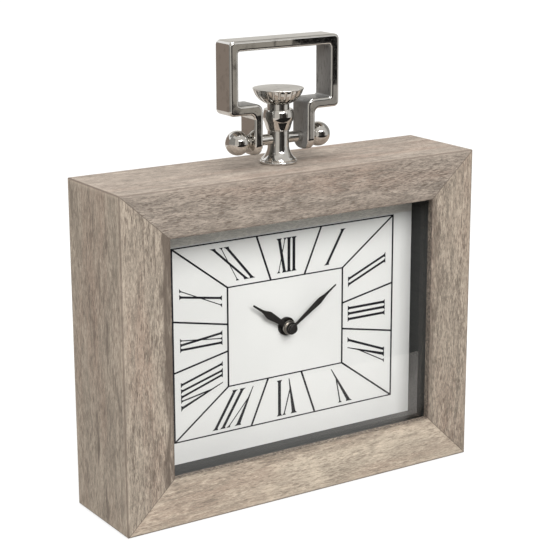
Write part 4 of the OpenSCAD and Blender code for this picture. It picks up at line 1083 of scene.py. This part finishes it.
def seen_only_by_mirrors(piece):
    """Keeps a studio piece out of the picture and out of the light on the clock."""
    piece.visible_camera = False
    piece.visible_diffuse = False
    piece.visible_shadow = False
    piece.visible_transmission = False


def studio_piece(name, corners, material):
    """A flat four-sided piece of the studio."""
    data = bpy.data.meshes.new(name)
    data.from_pydata(corners, [], [(0, 1, 2, 3)])
    data.materials.append(material)
    piece = bpy.data.objects.new(name, data)
    bpy.context.scene.collection.objects.link(piece)
    return piece


def studio_floor(tone_of_floor, lift):
    """Painted studio floor: grey and matt; what looks at it gets more, so that it ends up white."""
    made, tree, shader = finish("pale_studio_floor", tone_of_floor, roughness=0.9, specular=0.1)
    here = put(tree, "TexCoord", {}).outputs["Object"]
    away = put(tree, "VectorMath", {0: here}, operation="LENGTH").outputs["Value"]
    near, far = FLOOR_GROWS
    into = {"Value": away, "From Min": near, "From Max": far, "To Min": lift, "To Max": 1.0}
    added = put(tree, "MapRange", into)
    power = put(tree, "Math", {0: looked_at(tree), 1: added}, operation="MULTIPLY")
    glow = put(tree, "Emission", {"Color": tone("#FFFFFF"), "Strength": power})
    both = put(tree, "AddShader", {0: shader, 1: glow})
    feed(tree.nodes["Material Output"], {"Surface": both})
    return made


def studio_card(name, card_tone):
    """Matt card that glows at its own tone, so that it looks the same however the lamps stand."""
    made, tree, shader = finish(name, card_tone, roughness=0.9)
    glow = put(tree, "Emission", {"Color": card_tone, "Strength": 1.0})
    feed(tree.nodes["Material Output"], {"Surface": glow})
    return made


class CLOCK_OT_set_stage(Operator):
    """Sets the floor, the lamps, the cards that the metal mirrors and the camera"""

    bl_idname = "clock.set_stage"
    bl_label = "Set Stage"

    def execute(self, context):
        studio = context.scene.clock_studio
        context.scene.view_settings.view_transform = "Standard"
        corners = [(x * FLOOR_HALF, y * FLOOR_HALF, -FLOOR_DROP) for x, y in SQUARE]
        studio_piece("studio_floor", corners, studio_floor(studio.floor_tone, studio.floor_lift))

        handle_z = (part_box("bail_handle")[0].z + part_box("bail_handle")[1].z) / 2
        for name, (turn, half, low, high, code) in CARDS.items():
            edges = [math.radians(turn - half), math.radians(turn + half)]
            bottom, top = (handle_z + CARD_DISTANCE * math.tan(math.radians(a)) for a in (low, high))
            left, right = ((CARD_DISTANCE * math.sin(a), -CARD_DISTANCE * math.cos(a)) for a in edges)
            corners = [(*left, bottom), (*right, bottom), (*right, top), (*left, top)]
            seen_only_by_mirrors(studio_piece(name, corners, studio_card(name, tone(code))))
        for name, (across, along, height, code) in SHEETS.items():
            (left, right), (near, back) = across, along
            corners = [(left, near), (right, near), (right, back), (left, back)]
            corners = [(*corner, height) for corner in corners]
            seen_only_by_mirrors(studio_piece(name, corners, studio_card(name, tone(code))))

        for name, (stand, size, power) in SOFT_BOXES.items():
            lamp = bpy.data.lights.new(name, "AREA")
            lamp.shape = "RECTANGLE"
            lamp.size, lamp.size_y = size
            lamp.energy = getattr(studio, power)
            box = bpy.data.objects.new(name, lamp)
            stand = Vector(stand)
            aimed = (Vector(LIT_SPOT) - stand).to_track_quat("-Z", "Y").to_matrix().to_4x4()
            box.matrix_world = Matrix.Translation(stand) @ aimed
            context.scene.collection.objects.link(box)

        world = bpy.data.worlds.new("white_studio")
        world.use_nodes = True
        tree = world.node_tree
        light = put(tree, "Background", {"Color": tone("#FFFFFF"), "Strength": studio.fill})
        backdrop = put(tree, "Background", {"Color": tone("#FFFFFF"), "Strength": 1.0})
        sky = put(tree, "MixShader", {0: looked_at(tree), 1: light, 2: backdrop})
        feed(tree.nodes["World Output"], {"Surface": sky})
        context.scene.world = world

        lens = bpy.data.cameras.new("camera")
        lens.lens = studio.lens
        lens.sensor_width = SENSOR
        camera = bpy.data.objects.new("camera", lens)
        eye = Vector(studio.eye)
        look = (Vector(studio.aim) - eye).to_track_quat("-Z", "Y").to_matrix().to_4x4()
        camera.matrix_world = Matrix.Translation(eye) @ look @ Matrix.Rotation(studio.roll, 4, "Z")
        context.scene.collection.objects.link(camera)
        context.scene.camera = camera
        return {"FINISHED"}


class CLOCK_PT_panel(Panel):
    """Lists the steps that print and finish the clock"""

    bl_label = "Table Clock"
    bl_space_type = "VIEW_3D"
    bl_region_type = "UI"
    bl_category = "Clock"

    def draw(self, context):
        for group in SETTINGS.values():
            box = self.layout.box()
            settings = getattr(context.scene, group)
            for name in settings.__annotations__:
                box.prop(settings, name)
        for step in STEPS:
            self.layout.operator(step.bl_idname)


SETTINGS = {
    ClockWood: "clock_wood",
    ClockDial: "clock_dial",
    ClockMetal: "clock_metal",
    ClockStudio: "clock_studio",
}
STEPS = (
    CLOCK_OT_finish_rails,
    CLOCK_OT_finish_dial,
    CLOCK_OT_print_rings,
    CLOCK_OT_print_numerals,
    CLOCK_OT_finish_hands,
    CLOCK_OT_cut_hands,
    CLOCK_OT_finish_handle,
    CLOCK_OT_finish_movement,
    CLOCK_OT_set_stage,
)


def register():
    """Adds the settings, the steps and the panel to Blender"""
    for piece in (*SETTINGS, *STEPS, CLOCK_PT_panel):
        bpy.utils.register_class(piece)
    for group, name in SETTINGS.items():
        setattr(bpy.types.Scene, name, PointerProperty(type=group))


def unregister():
    """Takes them out again"""
    for name in SETTINGS.values():
        delattr(bpy.types.Scene, name)
    for piece in reversed((*SETTINGS, *STEPS, CLOCK_PT_panel)):
        bpy.utils.unregister_class(piece)


def main():
    """Runs every step"""
    register()
    for step in STEPS:
        group, name = step.bl_idname.split(".")
        getattr(getattr(bpy.ops, group), name)()


if __name__ == "__main__":
    main()
